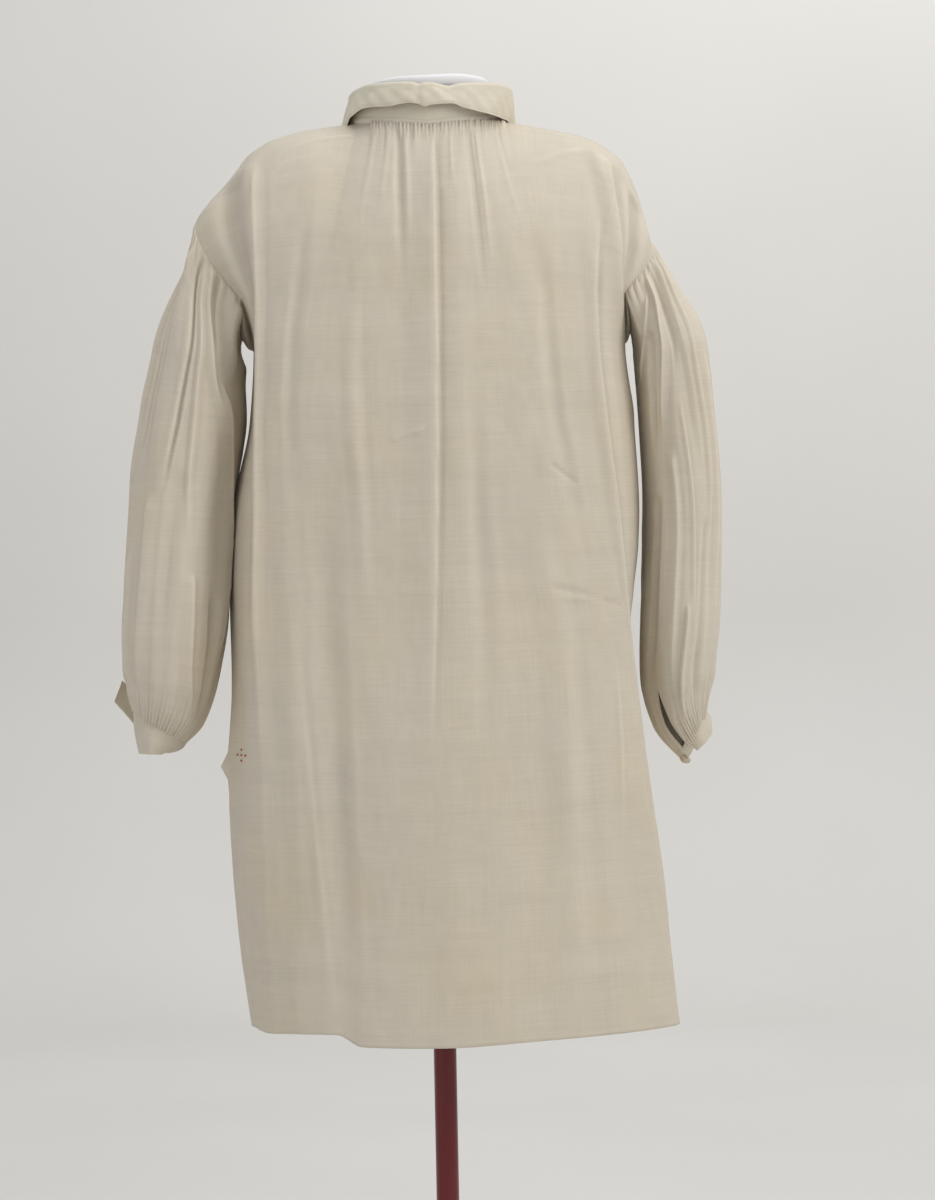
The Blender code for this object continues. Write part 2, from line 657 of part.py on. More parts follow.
def make_strap(hand, material):
    """A shoulder strap between the back, the front, the neckband and the sleeve."""
    wall = Wall("shoulder_strap_" + side_name(hand), material)
    alongs = [0.008, 0.06, 0.12, 0.20, 0.32, 0.44, 0.56, 0.68, 0.78, 0.87, 0.94, 1.0]
    acrosses = np.array([-0.972, -0.5, 0.0, 0.5, 0.972])
    outer = []
    inner = []
    for along in alongs:
        point = strap_point(hand, np.full_like(acrosses, along), acrosses)
        normal = strap_normal(hand, np.full_like(acrosses, along), acrosses)
        outer.append(point)
        inner.append(point - normal * LINEN)
    open_rows = [True] * (len(alongs) - 1)
    places = [acrosses] * len(alongs)
    wall.sheet(outer, inner, (places, places), open_rows, open_rows)
    return wall.build()


def strap_normal(hand, along, across):
    e = 0.004
    length = strap_point(hand, np.minimum(along + e, 1), across)
    length = length - strap_point(hand, np.maximum(along - e, 0), across)
    width = strap_point(hand, along, across + e) - strap_point(hand, along, across - e)
    normal = unit(np.cross(length, width))
    return normal * np.where(normal[..., 2:3] < 0, -1, 1)


def side_name(hand):
    return "left" if hand < 0 else "right"


def edge_v(z):
    """The place down the body's edge that lies at height z, below the underarm."""
    return YOKE_PART + (1 - YOKE_PART) * (UNDERARM_Z - z) / (UNDERARM_Z - HEM_Z)


def armhole_point(hand, t):
    """The armhole loop: t 0 at the inner side, then the back, the top, the front."""
    t = np.asarray(t, float)
    back = body_point(-1, np.full_like(t, hand), YOKE_PART * np.clip((0.46 - t) / 0.34, 0, 1))
    front = body_point(1, np.full_like(t, hand), YOKE_PART * np.clip((t - 0.54) / 0.34, 0, 1))
    strap = strap_point(hand, np.ones_like(t), np.clip((t - 0.5) / 0.04, -1, 1))
    low = np.minimum(t, 1 - t) / 0.12
    turn = np.clip(low, 0, 1)
    edge = np.full_like(t, float(hand))
    end = np.full_like(t, YOKE_PART)
    near = np.where((t < 0.5)[..., None], body_point(-1, edge, end), body_point(1, edge, end))
    deep = near.copy()
    deep[..., 0] = hand * GUSSET_SLEEVE_X[hand] + (near[..., 0] - hand * GUSSET_SLEEVE_X[hand]) * turn**2
    deep[..., 1] = near[..., 1] * turn
    deep[..., 2] = GUSSET_SLEEVE_Z + (near[..., 2] - GUSSET_SLEEVE_Z) * turn**1.6
    result = np.where((t < 0.5)[..., None], back, front)
    result = np.where((np.abs(t - 0.5) < 0.04)[..., None], strap, result)
    return np.where((low < 1)[..., None], deep, result)


def ring_point(hand, t, q):
    """The sleeve's rings: t round from the inner side by the back, q down from 0 to 1."""
    rows = LEFT_RINGS if hand < 0 else RIGHT_RINGS
    return oval_point(hand, t, Ring(q, *[read(rows, "along", name, q) for name in Ring._fields[1:]]))


def oval_point(hand, t, ring):
    """A point round one tilted oval ring."""
    angle = 2 * math.pi * t
    tilt = np.radians(ring.tilt)
    inward = ring.half_width * np.cos(angle)
    x = hand * (ring.x - inward * np.cos(tilt))
    y = ring.y - ring.half_depth * np.sin(angle)
    return np.stack([x, y, ring.z - inward * np.sin(tilt)], axis=-1)


def sleeve_point(hand, t, q):
    t, q = np.broadcast_arrays(np.asarray(t, float), np.asarray(q, float))
    t = t % 1.0
    ring = ring_point(hand, t, q)
    loop = armhole_point(hand, t)
    away = ring_point(hand, t, np.full_like(q, 0.16)) - loop
    facing = armhole_normal(hand, t)
    away = unit(away - facing * np.sum(away * facing, axis=-1, keepdims=True))
    head = loop + away * SLEEVE_SEAM + np.array([hand * SEAM, 0.0, 0.0])
    shift = head - ring_point(hand, t, np.zeros_like(q))
    return ring + shift * (1 - ease(q / HEAD_BLEND))[..., None]


def armhole_normal(hand, t):
    """The outward normal of the cloth that the sleeve is sewn to."""
    edge = np.full_like(t, float(hand))
    back = body_normal(-1, edge, YOKE_PART * np.clip((0.46 - t) / 0.34, 0.02, 0.98))
    front = body_normal(1, edge, YOKE_PART * np.clip((t - 0.54) / 0.34, 0.02, 0.98))
    strap = strap_normal(hand, np.full_like(t, 0.99), np.clip((t - 0.5) / 0.04, -1, 1))
    normal = np.where((t < 0.5)[..., None], back, front)
    return np.where((np.abs(t - 0.5) < 0.04)[..., None], strap, normal)


def sleeve_normal(hand, t, q):
    e = 0.004
    around = sleeve_point(hand, t + e, q) - sleeve_point(hand, t - e, q)
    down = sleeve_point(hand, t, np.minimum(q + e, 1)) - sleeve_point(hand, t, np.maximum(q - e, 0))
    normal = unit(np.cross(down, around)) * hand
    sewn = (q < 0.001) & (t > 0.12) & (t < 0.88)
    return np.where(sewn[..., None], armhole_normal(hand, t), normal)


def sleeve_fold_height(hand, t, q):
    folds = LEFT_SLEEVE_FOLDS if hand < 0 else RIGHT_SLEEVE_FOLDS
    height = np.zeros_like(t)
    for fold in folds:
        length = fold.bottom - fold.top
        fade = ease((q - fold.top) / (0.15 * length)) * ease((fold.bottom - q) / (0.25 * length))
        away = (t - fold.around + 0.5) % 1.0 - 0.5
        height = height + fold.height * fade * bump(away, fold.reach_in, fold.reach_out)
    return height


SLEEVE_ROWS = [0.0, 0.03, 0.07, 0.12, 0.20, 0.28, 0.37, 0.46, 0.55, 0.64, 0.72, 0.80]
SLEEVE_ROWS += [0.86, 0.91, 0.955, 0.985, 1.0]
SLEEVE_COLUMNS = 32


def sleeve_places(row):
    """Columns round a sleeve: dense for the head's pleats and the wrist's gathers."""
    q = SLEEVE_ROWS[row]
    if q < 0.10:
        pleats = zigzag(HEAD_PLEATS, 0.15, 0.85)
        return np.concatenate([[0.0, 0.03, 0.06, 0.09, 0.12], pleats, [0.88, 0.91, 0.94, 0.97]])
    if q > 0.97:
        return np.arange(2 * WRIST_GATHERS) / (2 * WRIST_GATHERS)
    return np.arange(SLEEVE_COLUMNS) / SLEEVE_COLUMNS


def sleeve_relief(t, q):
    place = (t - 0.15) / 0.70 * HEAD_PLEATS
    wave = 1 - np.abs(2 * (place - np.floor(place)) - 1)
    inside = (place > 0) & (place < HEAD_PLEATS)
    head = HEAD_PLEAT_HEIGHT * np.where(inside, wave, 0) * (q < 0.10)
    place = t * WRIST_GATHERS
    wave = 1 - np.abs(2 * (place - np.floor(place)) - 1)
    return head + WRIST_GATHER_HEIGHT * wave * (q > 0.97)


def make_sleeve(hand, material):
    """A sleeve: a tube from the armhole to the wrist, open at the wrist slit."""
    wall = Wall("sleeve_" + side_name(hand), material)
    cut = SLIT_AT[hand]
    outer = []
    inner = []
    outer_places = []
    inner_places = []
    for row, q in enumerate(SLEEVE_ROWS):
        opening = SLIT_HALF * math.sin(math.pi * min(max((q - SLIT_FROM) / (1.06 - SLIT_FROM), 0), 1))
        fine = around_from(sleeve_places(row), cut)
        plain = around_from(np.arange(SLEEVE_COLUMNS) / SLEEVE_COLUMNS, cut)
        outer.append(sleeve_row(hand, fine, q, opening, cut, 0.0, True))
        inner.append(sleeve_row(hand, plain, q, opening, cut, LINEN, False))
        outer_places.append(fine)
        inner_places.append(plain)
    slit = [q >= SLIT_FROM for q in SLEEVE_ROWS[:-1]]
    wall.sheet(outer, inner, (outer_places, inner_places), slit, slit)
    return wall.build()


def around_from(places, cut):
    """Places round the tube from the cut back to it, both ends included."""
    inside = [(p - cut) % 1.0 for p in places]
    inside = [p for p in inside if 0.004 < p < 0.996]
    return np.array([0.0] + sorted(inside) + [1.0])


def sleeve_row(hand, places, q, opening, cut, depth, raised):
    t = (cut + opening + places * (1 - 2 * opening)) % 1.0
    if opening == 0:
        t[-1] = t[0]
    q = np.full_like(t, q)
    normal = sleeve_normal(hand, t, q)
    height = sleeve_fold_height(hand, t, q) - depth
    if raised:
        height = height + sleeve_relief(t, q)
    return sleeve_point(hand, t, q) + normal * height[:, None]


def make_gusset(hand, material):
    """The square underarm gusset, folded between the sleeve and the body."""
    wall = Wall("gusset_" + side_name(hand), material)
    acrosses = np.array([0.16, 0.42, 0.68, 0.94])
    outer = []
    inner = []
    for place in np.linspace(-0.86, 0.86, 9):
        face = -1 if place < 0 else 1
        fall = 1 - abs(place)
        foot = edge_v(UNDERARM_Z - (UNDERARM_Z - GUSSET_FOOT_Z) * fall)
        body = body_point(face, np.array([float(hand)]), np.array([foot]))[0]
        sleeve = armhole_point(hand, np.array([0.12 * abs(place) if place < 0 else 1 - 0.12 * place]))[0]
        rib = np.array([sleeve + (body - sleeve) * a for a in acrosses])
        up = np.array([0.0, 0.0, 1.0])
        outer.append(rib)
        inner.append(rib + up * LINEN)
    open_rows = [True] * 8
    places = [acrosses] * 9
    wall.sheet(outer, inner, (places, places), open_rows, open_rows)
    return wall.build()


def cuff_point(hand, places, down):
    """A cuff's outer face, from its front end round to its back end. down is 0 at the sleeve."""
    t = (SLIT_AT[hand] + places) % 1.0
    top = ring_point(hand, t, np.ones_like(places))
    foot = oval_point(hand, t, CUFF_FOOT[hand])
    start = top + unit(foot - top) * CUFF_OFF[hand]
    outward = unit(top - ring_point(hand, np.linspace(0.0, 1.0, 29), np.ones(29)).mean(axis=0))
    tab = TAB_OUT[hand] * ease(1 - places / TAB_TO) * min(down * 2.0, 1.0)
    lift = np.array([0.0, 0.0, TAB_LIFT * down**2])
    return start + (foot - start) * down + (outward + lift) * tab[:, None]


def cuff_normal(hand, places, down):
    e = 0.01
    around = cuff_point(hand, places + e, down) - cuff_point(hand, places - e, down)
    along = cuff_point(hand, places, min(down + e, 1.0)) - cuff_point(hand, places, max(down - e, 0.0))
    return unit(np.cross(along, around)) * -hand


def make_cuff(hand, material):
    """A straight band, open at its gap, whose front end stands away on the left."""
    wall = Wall("cuff_" + side_name(hand), material)
    places = np.linspace(CUFF_GAP, 1 - CUFF_GAP, 29)
    outer = []
    inner = []
    for down in (0.0, 0.2, 0.45, 0.7, 1.0):
        ring = cuff_point(hand, places, down)
        outer.append(ring)
        inner.append(ring - cuff_normal(hand, places, down) * DOUBLED)
    rows = [places] * 5
    wall.sheet(outer, inner, (rows, rows), [True] * 4, [True] * 4)
    return wall.build()


def band_angles(count):
    """Places round the neck from the front's left end, by the back, to its right end."""
    return np.linspace(-math.pi + COLLAR_HALF_GAP, math.pi - COLLAR_HALF_GAP, count)


def make_neckband(material):
    wall = Wall("neckband", material)
    angles = band_angles(37)
    point = neck_point(angles)
    centre = np.array([0.0, NECK_Y, 0.0])
    radial = (point - centre) * np.array([1, 1, 0])
    radial = unit(radial)
    outer = []
    inner = []
    for height in (SEAM, NECKBAND_HEIGHT / 2, NECKBAND_HEIGHT):
        row = point + np.array([0, 0, height])
        outer.append(row)
        inner.append(row - radial * DOUBLED)
    places = [angles] * 3
    wall.sheet(outer, inner, (places, places), [True] * 2, [True] * 2)
    return wall.build()


def collar_profile(angles):
    """The collar's wall lines from the stand, over the turn, to the fall's edge."""
    size = np.abs(angles)
    length = read(COLLAR_FALLS, "angle", "length", size)
    spread = read(COLLAR_FALLS, "angle", "spread", size)
    stand = COLLAR_STAND - 0.012 * ease((size - 1.4) / 1.6)
    wave = 0.0012 * np.sin(7 * angles + 0.6) + 0.0008 * np.sin(13 * angles)
    profile = []
    for part in (0.0, 0.5, 1.0):
        out = np.full_like(size, -COLLAR_LEAN * part)
        profile.append((out, NECKBAND_HEIGHT + SEAM + (stand + wave) * part))
    top = NECKBAND_HEIGHT + stand + wave
    for turn in (40, 90, 140, 180):
        a = math.radians(turn)
        out = np.full_like(size, COLLAR_TURN * (1 - math.cos(a)) - COLLAR_LEAN)
        profile.append((out, top + COLLAR_TURN * math.sin(a)))
    edge = 0.0006 * np.sin(11 * angles) - wave - length
    for part in (0.5, 1.0):
        profile.append((2 * COLLAR_TURN + spread * part, top + edge * part))
    return profile


def make_collar(material):
    wall = Wall("collar", material)
    angles = band_angles(37)
    point = neck_point(angles)
    radial = unit((point - np.array([0.0, NECK_Y, 0.0])) * np.array([1, 1, 0]))
    profile = collar_profile(angles)
    lines = [np.stack([out, up], axis=-1) for out, up in profile]
    outer = []
    inner = []
    for index, line in enumerate(lines):
        before = lines[max(index - 1, 0)]
        after = lines[min(index + 1, len(lines) - 1)]
        along = unit(after - before)
        side = np.stack([along[:, 1], -along[:, 0]], axis=-1) * DOUBLED * -1
        outer.append(place_line(point, radial, line))
        inner.append(place_line(point, radial, line + side))
    places = [angles] * len(lines)
    count = len(lines) - 1
    wall.sheet(outer, inner, (places, places), [True] * count, [True] * count)
    return wall.build()


def place_line(point, radial, line):
    up = np.array([0.0, 0.0, 1.0])
    return point + radial * line[:, 0:1] + up * line[:, 1:2]


def stack_rings(name, rings, material):
    """A solid through level rings of points, bottom to top, with flat ends."""
    mesh = bpy.data.meshes.new(name)
    shape = bmesh.new()
    rings = [[shape.verts.new(point) for point in ring] for ring in rings]
    for low, high in zip(rings, rings[1:]):
        for k in range(len(low)):
            n = (k + 1) % len(low)
            shape.faces.new((low[k], low[n], high[n], high[k]))
    shape.faces.new(list(reversed(rings[0])))
    shape.faces.new(rings[-1])
    bmesh.ops.recalc_face_normals(shape, faces=shape.faces)
    shape.to_mesh(mesh)
    shape.free()
    mesh.materials.append(material)
    obj = bpy.data.objects.new(name, mesh)
    bpy.context.scene.collection.objects.link(obj)
    mesh.shade_smooth()
    mesh.set_sharp_from_angle(angle=math.radians(40))
    return obj


def turned(name, profile, material, segments=32, squash=1.0):
    """A turned solid from (radius, z) points, bottom to top."""
    turns = [2 * math.pi * k / segments for k in range(segments)]
    rings = []
    for radius, z in profile:
        rings.append([(radius * math.cos(a), squash * radius * math.sin(a), z) for a in turns])
    return stack_rings(name, rings, material)


def make_form(material):
    """The padded torso, lofted through its sections, with a flat underside."""
    turns = [2 * math.pi * k / 32 for k in range(32)]
    rings = []
    for row in FORM:
        ring = []
        for a in turns:
            depth = row.front if math.sin(a) > 0 else row.back
            c = math.copysign(abs(math.cos(a)) ** FORM_SQUARE, math.cos(a))
            s = math.copysign(abs(math.sin(a)) ** FORM_SQUARE, math.sin(a))
            ring.append((row.half_width * c, depth * s, row.z))
        rings.append(ring)
    return stack_rings("form_body", rings, material)


def make_button(name, centre, facing, material):
    """A small dished button, its flat back towards the cloth."""
    profile = [(BUTTON_RADIUS, 0.0), (BUTTON_RADIUS, BUTTON_THICK * 0.7)]
    profile += [(BUTTON_RADIUS * 0.8, BUTTON_THICK)]
    obj = turned(name, profile, material, segments=20)
    z = np.array([0.0, 0.0, 1.0])
    axis = np.cross(z, facing)
    angle = math.acos(float(np.clip(z @ facing, -1, 1)))
    obj.rotation_mode = "AXIS_ANGLE"
    if np.linalg.norm(axis) > 1e-9:
        axis = axis / np.linalg.norm(axis)
        obj.rotation_axis_angle = (angle, *[float(value) for value in axis])
    obj.location = [float(value) for value in centre]
    return obj


def make_vent_gusset(hand, material):
    """The tiny folded gusset at the top of a side vent, standing a little proud."""
    wall = Wall("vent_gusset_" + side_name(hand), material)
    rows = BACK
    x = float(read(rows, "z", side_name(hand), np.array(VENT_Z)))
    edge_x = x + hand * VENT_OFF[hand]
    top = np.array([edge_x, 0.0, VENT_Z + 0.014])
    tip = np.array([x + hand * VENT_STAND, 0.0, VENT_Z - 0.002])
    foot = np.array([edge_x, 0.0, VENT_Z - 0.018])
    outer = []
    inner = []
    for part in (0.0, 0.25, 0.5, 0.75, 1.0):
        edge = top + (foot - top) * part
        peak = tip * (1 - abs(2 * part - 1)) + edge * abs(2 * part - 1)
        half = VENT_HALF_WIDTH * (1 - abs(2 * part - 1)) + 0.002
        row = np.array([[peak[0], half * s, edge[2]] for s in (-1.0, -0.5, 0.0, 0.5, 1.0)])
        row[:, 0] -= hand * np.abs(np.linspace(-1, 1, 5)) * abs(peak[0] - edge[0]) * 0.7
        outer.append(row + np.array([hand * (LINEN + SEAM), 0, 0]))
        inner.append(row + np.array([hand * SEAM, 0, 0]))
    places = [np.linspace(-1, 1, 5)] * 5
    wall.sheet(outer, inner, (places, places), [True] * 4, [True] * 4)
    return wall.build()


def make_collar_button(material):
    """A small button on the collar's stand, at its front end."""
    seat = neck_point(np.array([COLLAR_BUTTON_ANGLE]))[0]
    facing = unit((seat - np.array([0.0, NECK_Y, 0.0])) * np.array([1, 1, 0]))
    centre = seat + facing * BUTTON_OFF + np.array([0.0, 0.0, COLLAR_BUTTON_UP])
    return make_button("collar_button", centre, facing, material)


def make_cuff_button(hand, material):
    """A button near the back end of a cuff."""
    place = np.array([1 - CUFF_GAP - CUFF_BUTTON_IN])
    facing = cuff_normal(hand, place, 0.5)[0]
    centre = cuff_point(hand, place, 0.5)[0] + facing * CUFF_BUTTON_OFF
    return make_button("cuff_button_" + side_name(hand), centre, facing, material)


def main():
    for obj in list(bpy.data.objects):
        bpy.data.objects.remove(obj)
    linen = make_material("linen", LINEN_COLOUR, 0.85)
    cover = make_material("form_cover", COVER_COLOUR, 0.7)
    red = make_material("red_lacquer", RED_COLOUR, 0.25)
    bone = make_material("button", BUTTON_COLOUR, 0.5)
    steel = make_material("base_metal", STEEL_COLOUR, 0.5, 0.6)
    make_back(linen)
    make_front(linen)
    make_neckband(linen)
    make_collar(linen)
    for hand in (-1, 1):
        make_strap(hand, linen)
        make_sleeve(hand, linen)
        make_gusset(hand, linen)
        make_cuff(hand, linen)
        make_vent_gusset(hand, linen)
        make_cuff_button(hand, bone)
    make_collar_button(bone)
    make_form(cover)
    cap = [(CAP_RADIUS, CAP_FROM_Z), (CAP_RADIUS, CAP_TOP_Z - 0.006)]
    cap += [(CAP_RADIUS - 0.003, CAP_TOP_Z - 0.001), (CAP_RADIUS - 0.008, CAP_TOP_Z)]
    turned("neck_cap", cap, cover, 36, CAP_DEPTH / CAP_RADIUS)
    pole = [(POLE_RADIUS, BASE_THICK + FIT), (POLE_RADIUS, SOCKET_FROM_Z - FIT)]
    turned("pole", pole, red, 24)
    socket = [(SOCKET_RADIUS, SOCKET_FROM_Z), (SOCKET_RADIUS, FORM[0].z - FIT)]
    turned("form_socket", socket, steel, 24)
    base = [(BASE_RADIUS, 0.0), (BASE_RADIUS, BASE_THICK - 0.004), (BASE_RADIUS - 0.004, BASE_THICK)]
    turned("base", base, steel, 48)


main()
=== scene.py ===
# An old-fashioned linen shirt, seen from behind, on a limbless dress form with a red tube
# stand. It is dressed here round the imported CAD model, one section for each piece. Metres,
# +Z up: the wearer's back faces -Y and the wearer's left side is at -X.
import math
from collections import namedtuple

import bpy
import numpy as np
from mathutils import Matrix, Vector


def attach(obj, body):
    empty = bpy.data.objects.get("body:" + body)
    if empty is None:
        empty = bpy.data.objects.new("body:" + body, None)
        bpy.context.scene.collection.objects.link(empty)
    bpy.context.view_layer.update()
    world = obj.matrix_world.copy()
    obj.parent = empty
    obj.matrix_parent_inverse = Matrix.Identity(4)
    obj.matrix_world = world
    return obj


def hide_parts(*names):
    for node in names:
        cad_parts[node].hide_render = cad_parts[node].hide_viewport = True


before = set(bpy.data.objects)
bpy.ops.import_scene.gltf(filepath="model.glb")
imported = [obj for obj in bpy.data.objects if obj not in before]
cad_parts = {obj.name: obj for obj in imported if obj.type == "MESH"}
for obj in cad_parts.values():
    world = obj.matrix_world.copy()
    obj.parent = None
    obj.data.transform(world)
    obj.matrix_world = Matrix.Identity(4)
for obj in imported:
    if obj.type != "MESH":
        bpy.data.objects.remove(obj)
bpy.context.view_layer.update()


# Studio. A pale seamless sweep under soft light from the front left, and the camera that took
# the photograph: level, 3.6 m behind the wearer, turned a little on its own axis.
CAMERA_AT = (0.0344, -3.6, 0.94)
CAMERA_ROLL = math.radians(1.125)
CAMERA_LENS = 98.2
SWEEP_COLOUR = (0.72, 0.700, 0.664, 1.0)
SWEEP_BEHIND = 4.6
SWEEP_RADIUS = 0.9

camera = bpy.data.objects.new("camera", bpy.data.cameras.new("camera"))
camera.data.lens = CAMERA_LENS
camera.location = CAMERA_AT
camera.rotation_euler = (math.pi / 2, CAMERA_ROLL, 0.0)
bpy.context.scene.collection.objects.link(camera)
bpy.context.scene.camera = camera
bpy.context.scene.view_settings.view_transform = "Standard"


def new_mesh(name, points, faces, smooth=True):
    """An object from its points and faces, linked and smooth shaded."""
    mesh = bpy.data.meshes.new(name)
    if isinstance(faces, np.ndarray):
        faces = faces.tolist()
    mesh.from_pydata(np.asarray(points, float).tolist(), [], faces)
    if smooth:
        mesh.shade_smooth()
    obj = bpy.data.objects.new(name, mesh)
    bpy.context.scene.collection.objects.link(obj)
    return obj


class Tree:
    """Short names for building a material's or a group's nodes."""

    def __init__(self, tree):
        self.tree = tree

    def add(self, kind, settings=None, **inputs):
        node = self.tree.nodes.new(kind)
        for name, value in (settings or {}).items():
            setattr(node, name, value)
        for name, value in inputs.items():
            self.put(node.inputs[name.replace("_", " ")], value)
        return node

    def put(self, socket, value):
        if isinstance(value, bpy.types.NodeSocket):
            self.tree.links.new(value, socket)
        else:
            socket.default_value = value

    def math(self, operation, a, b=0.0, c=0.0):
        node = self.tree.nodes.new("ShaderNodeMath")
        node.operation = operation
        for socket, value in zip(node.inputs, (a, b, c)):
            self.put(socket, value)
        return node.outputs[0]

    def place(self):
        return self.add("ShaderNodeTexCoord").outputs["Object"]

    def bump(self, height, strength, distance):
        node = self.add("ShaderNodeBump", Strength=strength, Distance=distance, Height=height)
        return node.outputs["Normal"]

    def stretch(self, vector, sizes):
        node = self.tree.nodes.new("ShaderNodeVectorMath")
        node.operation = "MULTIPLY"
        self.put(node.inputs[0], vector)
        self.put(node.inputs[1], sizes)
        return node.outputs[0]

    def noise(self, vector, sizes, detail=2.0, roughness=0.5):
        """Noise whose features are 1/sizes long each way."""
        node = self.tree.nodes.new("ShaderNodeTexNoise")
        self.put(node.inputs["Vector"], self.stretch(vector, sizes))
        node.inputs["Scale"].default_value = 1.0
        node.inputs["Detail"].default_value = detail
        node.inputs["Roughness"].default_value = roughness
        return node.outputs["Fac"]

    def span(self, value, low, high, to_low=0.0, to_high=1.0):
        node = self.tree.nodes.new("ShaderNodeMapRange")
        node.interpolation_type = "SMOOTHSTEP"
        for name, put in (("Value", value), ("From Min", low), ("From Max", high)):
            self.put(node.inputs[name], put)
        self.put(node.inputs["To Min"], to_low)
        self.put(node.inputs["To Max"], to_high)
        return node.outputs["Result"]

    def mix(self, factor, a, b, kind="MIX"):
        node = self.tree.nodes.new("ShaderNodeMix")
        node.data_type = "RGBA"
        node.blend_type = kind
        self.put(node.inputs["Factor"], factor)
        self.put(node.inputs["A"], a)
        self.put(node.inputs["B"], b)
        return node.outputs["Result"]


def new_group(name, inputs, outputs):
    """A shader node group with its sockets, its tree and its two end nodes."""
    group = bpy.data.node_groups.new(name, "ShaderNodeTree")
    for socket, kind, value in inputs:
        item = group.interface.new_socket(socket, in_out="INPUT", socket_type=kind)
        item.default_value = value
    for socket, kind in outputs:
        group.interface.new_socket(socket, in_out="OUTPUT", socket_type=kind)
    start = group.nodes.new("NodeGroupInput")
    end = group.nodes.new("NodeGroupOutput")
    return group, Tree(group), start, end


def new_material(name, **values):
    """A material with a Principled shader whose constants are set on its own sockets."""
    material = bpy.data.materials.new(name)
    material.use_nodes = True
    tree = Tree(material.node_tree)
    shader = material.node_tree.nodes["Principled BSDF"]
    for key, value in values.items():
        shader.inputs[key.replace("_", " ")].default_value = value
    return material, tree, shader


def studio_material():
    material, tree, shader = new_material("sweep", Roughness=0.95)
    place = tree.place()
    cloud = tree.span(tree.noise(place, (0.9, 0.9, 0.9), 3.0), 0.3, 0.7)
    darker = tuple(0.955 * value for value in SWEEP_COLOUR[:3]) + (1.0,)
    tree.put(shader.inputs["Base Color"], tree.mix(cloud, darker, SWEEP_COLOUR))
    return material


def make_sweep():
    """The floor, a wide bend, and the wall behind it."""
    rows = [(-5.0, 0.0), (SWEEP_BEHIND - SWEEP_RADIUS, 0.0)]
    for turn in np.linspace(8, 82, 12):
        a = math.radians(turn)
        y = SWEEP_BEHIND - SWEEP_RADIUS + SWEEP_RADIUS * math.sin(a)
        rows.append((y, SWEEP_RADIUS - SWEEP_RADIUS * math.cos(a)))
    rows += [(SWEEP_BEHIND, SWEEP_RADIUS), (SWEEP_BEHIND, 5.0)]
    xs = np.linspace(-5.0, 5.0, 9)
    points = [(x, y, z) for y, z in rows for x in xs]
    faces = []
    for r in range(len(rows) - 1):
        for c in range(len(xs) - 1):
            k = r * len(xs) + c
            faces.append((k, k + 1, k + 1 + len(xs), k + len(xs)))
    sweep = new_mesh("sweep", points, faces)
    sweep.data.materials.append(studio_material())


def soft_light(name, place, aim, size, power, colour):
    light = bpy.data.lights.new(name, "AREA")
    light.shape = "RECTANGLE"
    light.size, light.size_y = size
    light.energy = power
    light.color = colour
    obj = bpy.data.objects.new(name, light)
    obj.location = place
    direction = Vector(aim) - Vector(place)
    obj.rotation_euler = direction.to_track_quat("-Z", "Y").to_euler()
    bpy.context.scene.collection.objects.link(obj)


make_sweep()
soft_light("key", (2.9, -1.9, 2.7), (0.0, 0.0, 1.0), (1.6, 1.8), 56.0, (1.0, 0.99, 0.97))
soft_light("fill", (-2.6, -3.0, 1.5), (0.0, 0.0, 0.9), (1.8, 2.2), 17.0, (1.0, 0.985, 0.96))
soft_light("top", (0.3, -0.2, 3.5), (0.0, 0.0, 1.0), (2.4, 2.0), 27.0, (1.0, 1.0, 1.0))
soft_light(
    "wall", (1.2, SWEEP_BEHIND - 2.3, 4.6), (0.8, SWEEP_BEHIND, 3.1), (3.4, 1.7), 78.0, (1.0, 1.0, 0.99)
)
world = bpy.data.worlds.new("studio")
world.use_nodes = True
world.node_tree.nodes["Background"].inputs["Color"].default_value = (0.93, 0.95, 1.0, 1.0)
world.node_tree.nodes["Background"].inputs["Strength"].default_value = 0.55
bpy.context.scene.world = world


# Back. The back is one straight length of loom-width linen, plain woven from hand-spun
# thread. Its top is gathered into the neck seam, its shoulders drop on to the arms, and its
# sides are sewn down to the vents and left open below. The hem is turned up and felled by
# hand.
LINEN_COLOUR = (0.625, 0.562, 0.455, 1.0)
AGED_COLOUR = (0.640, 0.535, 0.365, 1.0)
THREAD_PITCH = 0.00062
UNDERARM_Z = 1.270
HEM_Z = 0.468
FRONT_HEM_Z = 0.480
YOKE_PART = 0.24
# The neck seam, an oval round the neck cap.
NECK_HALF_WIDTH = 0.085
NECK_HALF_DEPTH = 0.068
NECK_Y = -0.004
STRAP_FROM = math.radians(64)
STRAP_TO = math.radians(116)
GATHER_EDGE = 0.45

NeckHeight = namedtuple("NeckHeight", "angle z")
NECK_HEIGHTS = [
    NeckHeight(0.0, 1.452),
    NeckHeight(1.1, 1.461),
    NeckHeight(1.57, 1.463),
    NeckHeight(2.1, 1.456),
    NeckHeight(3.15, 1.438),
]

# The top of the shoulder, from the neck to the sleeve, on the left and the right.
Shoulder = namedtuple("Shoulder", "along left_x left_z right_x right_z half_strap")
SHOULDERS = [
    Shoulder(0.00, 0.0850, 1.4630, 0.0850, 1.4630, 0.030),
    Shoulder(0.25, 0.1250, 1.4590, 0.1300, 1.4545, 0.029),
    Shoulder(0.50, 0.1663, 1.4490, 0.1720, 1.4445, 0.028),
    Shoulder(0.70, 0.1941, 1.4335, 0.2073, 1.4229, 0.026),
    Shoulder(0.85, 0.2165, 1.4055, 0.2290, 1.3835, 0.024),
    Shoulder(1.00, 0.2337, 1.3815, 0.2427, 1.3300, 0.022),
]
STRAP_CROWN = 0.003

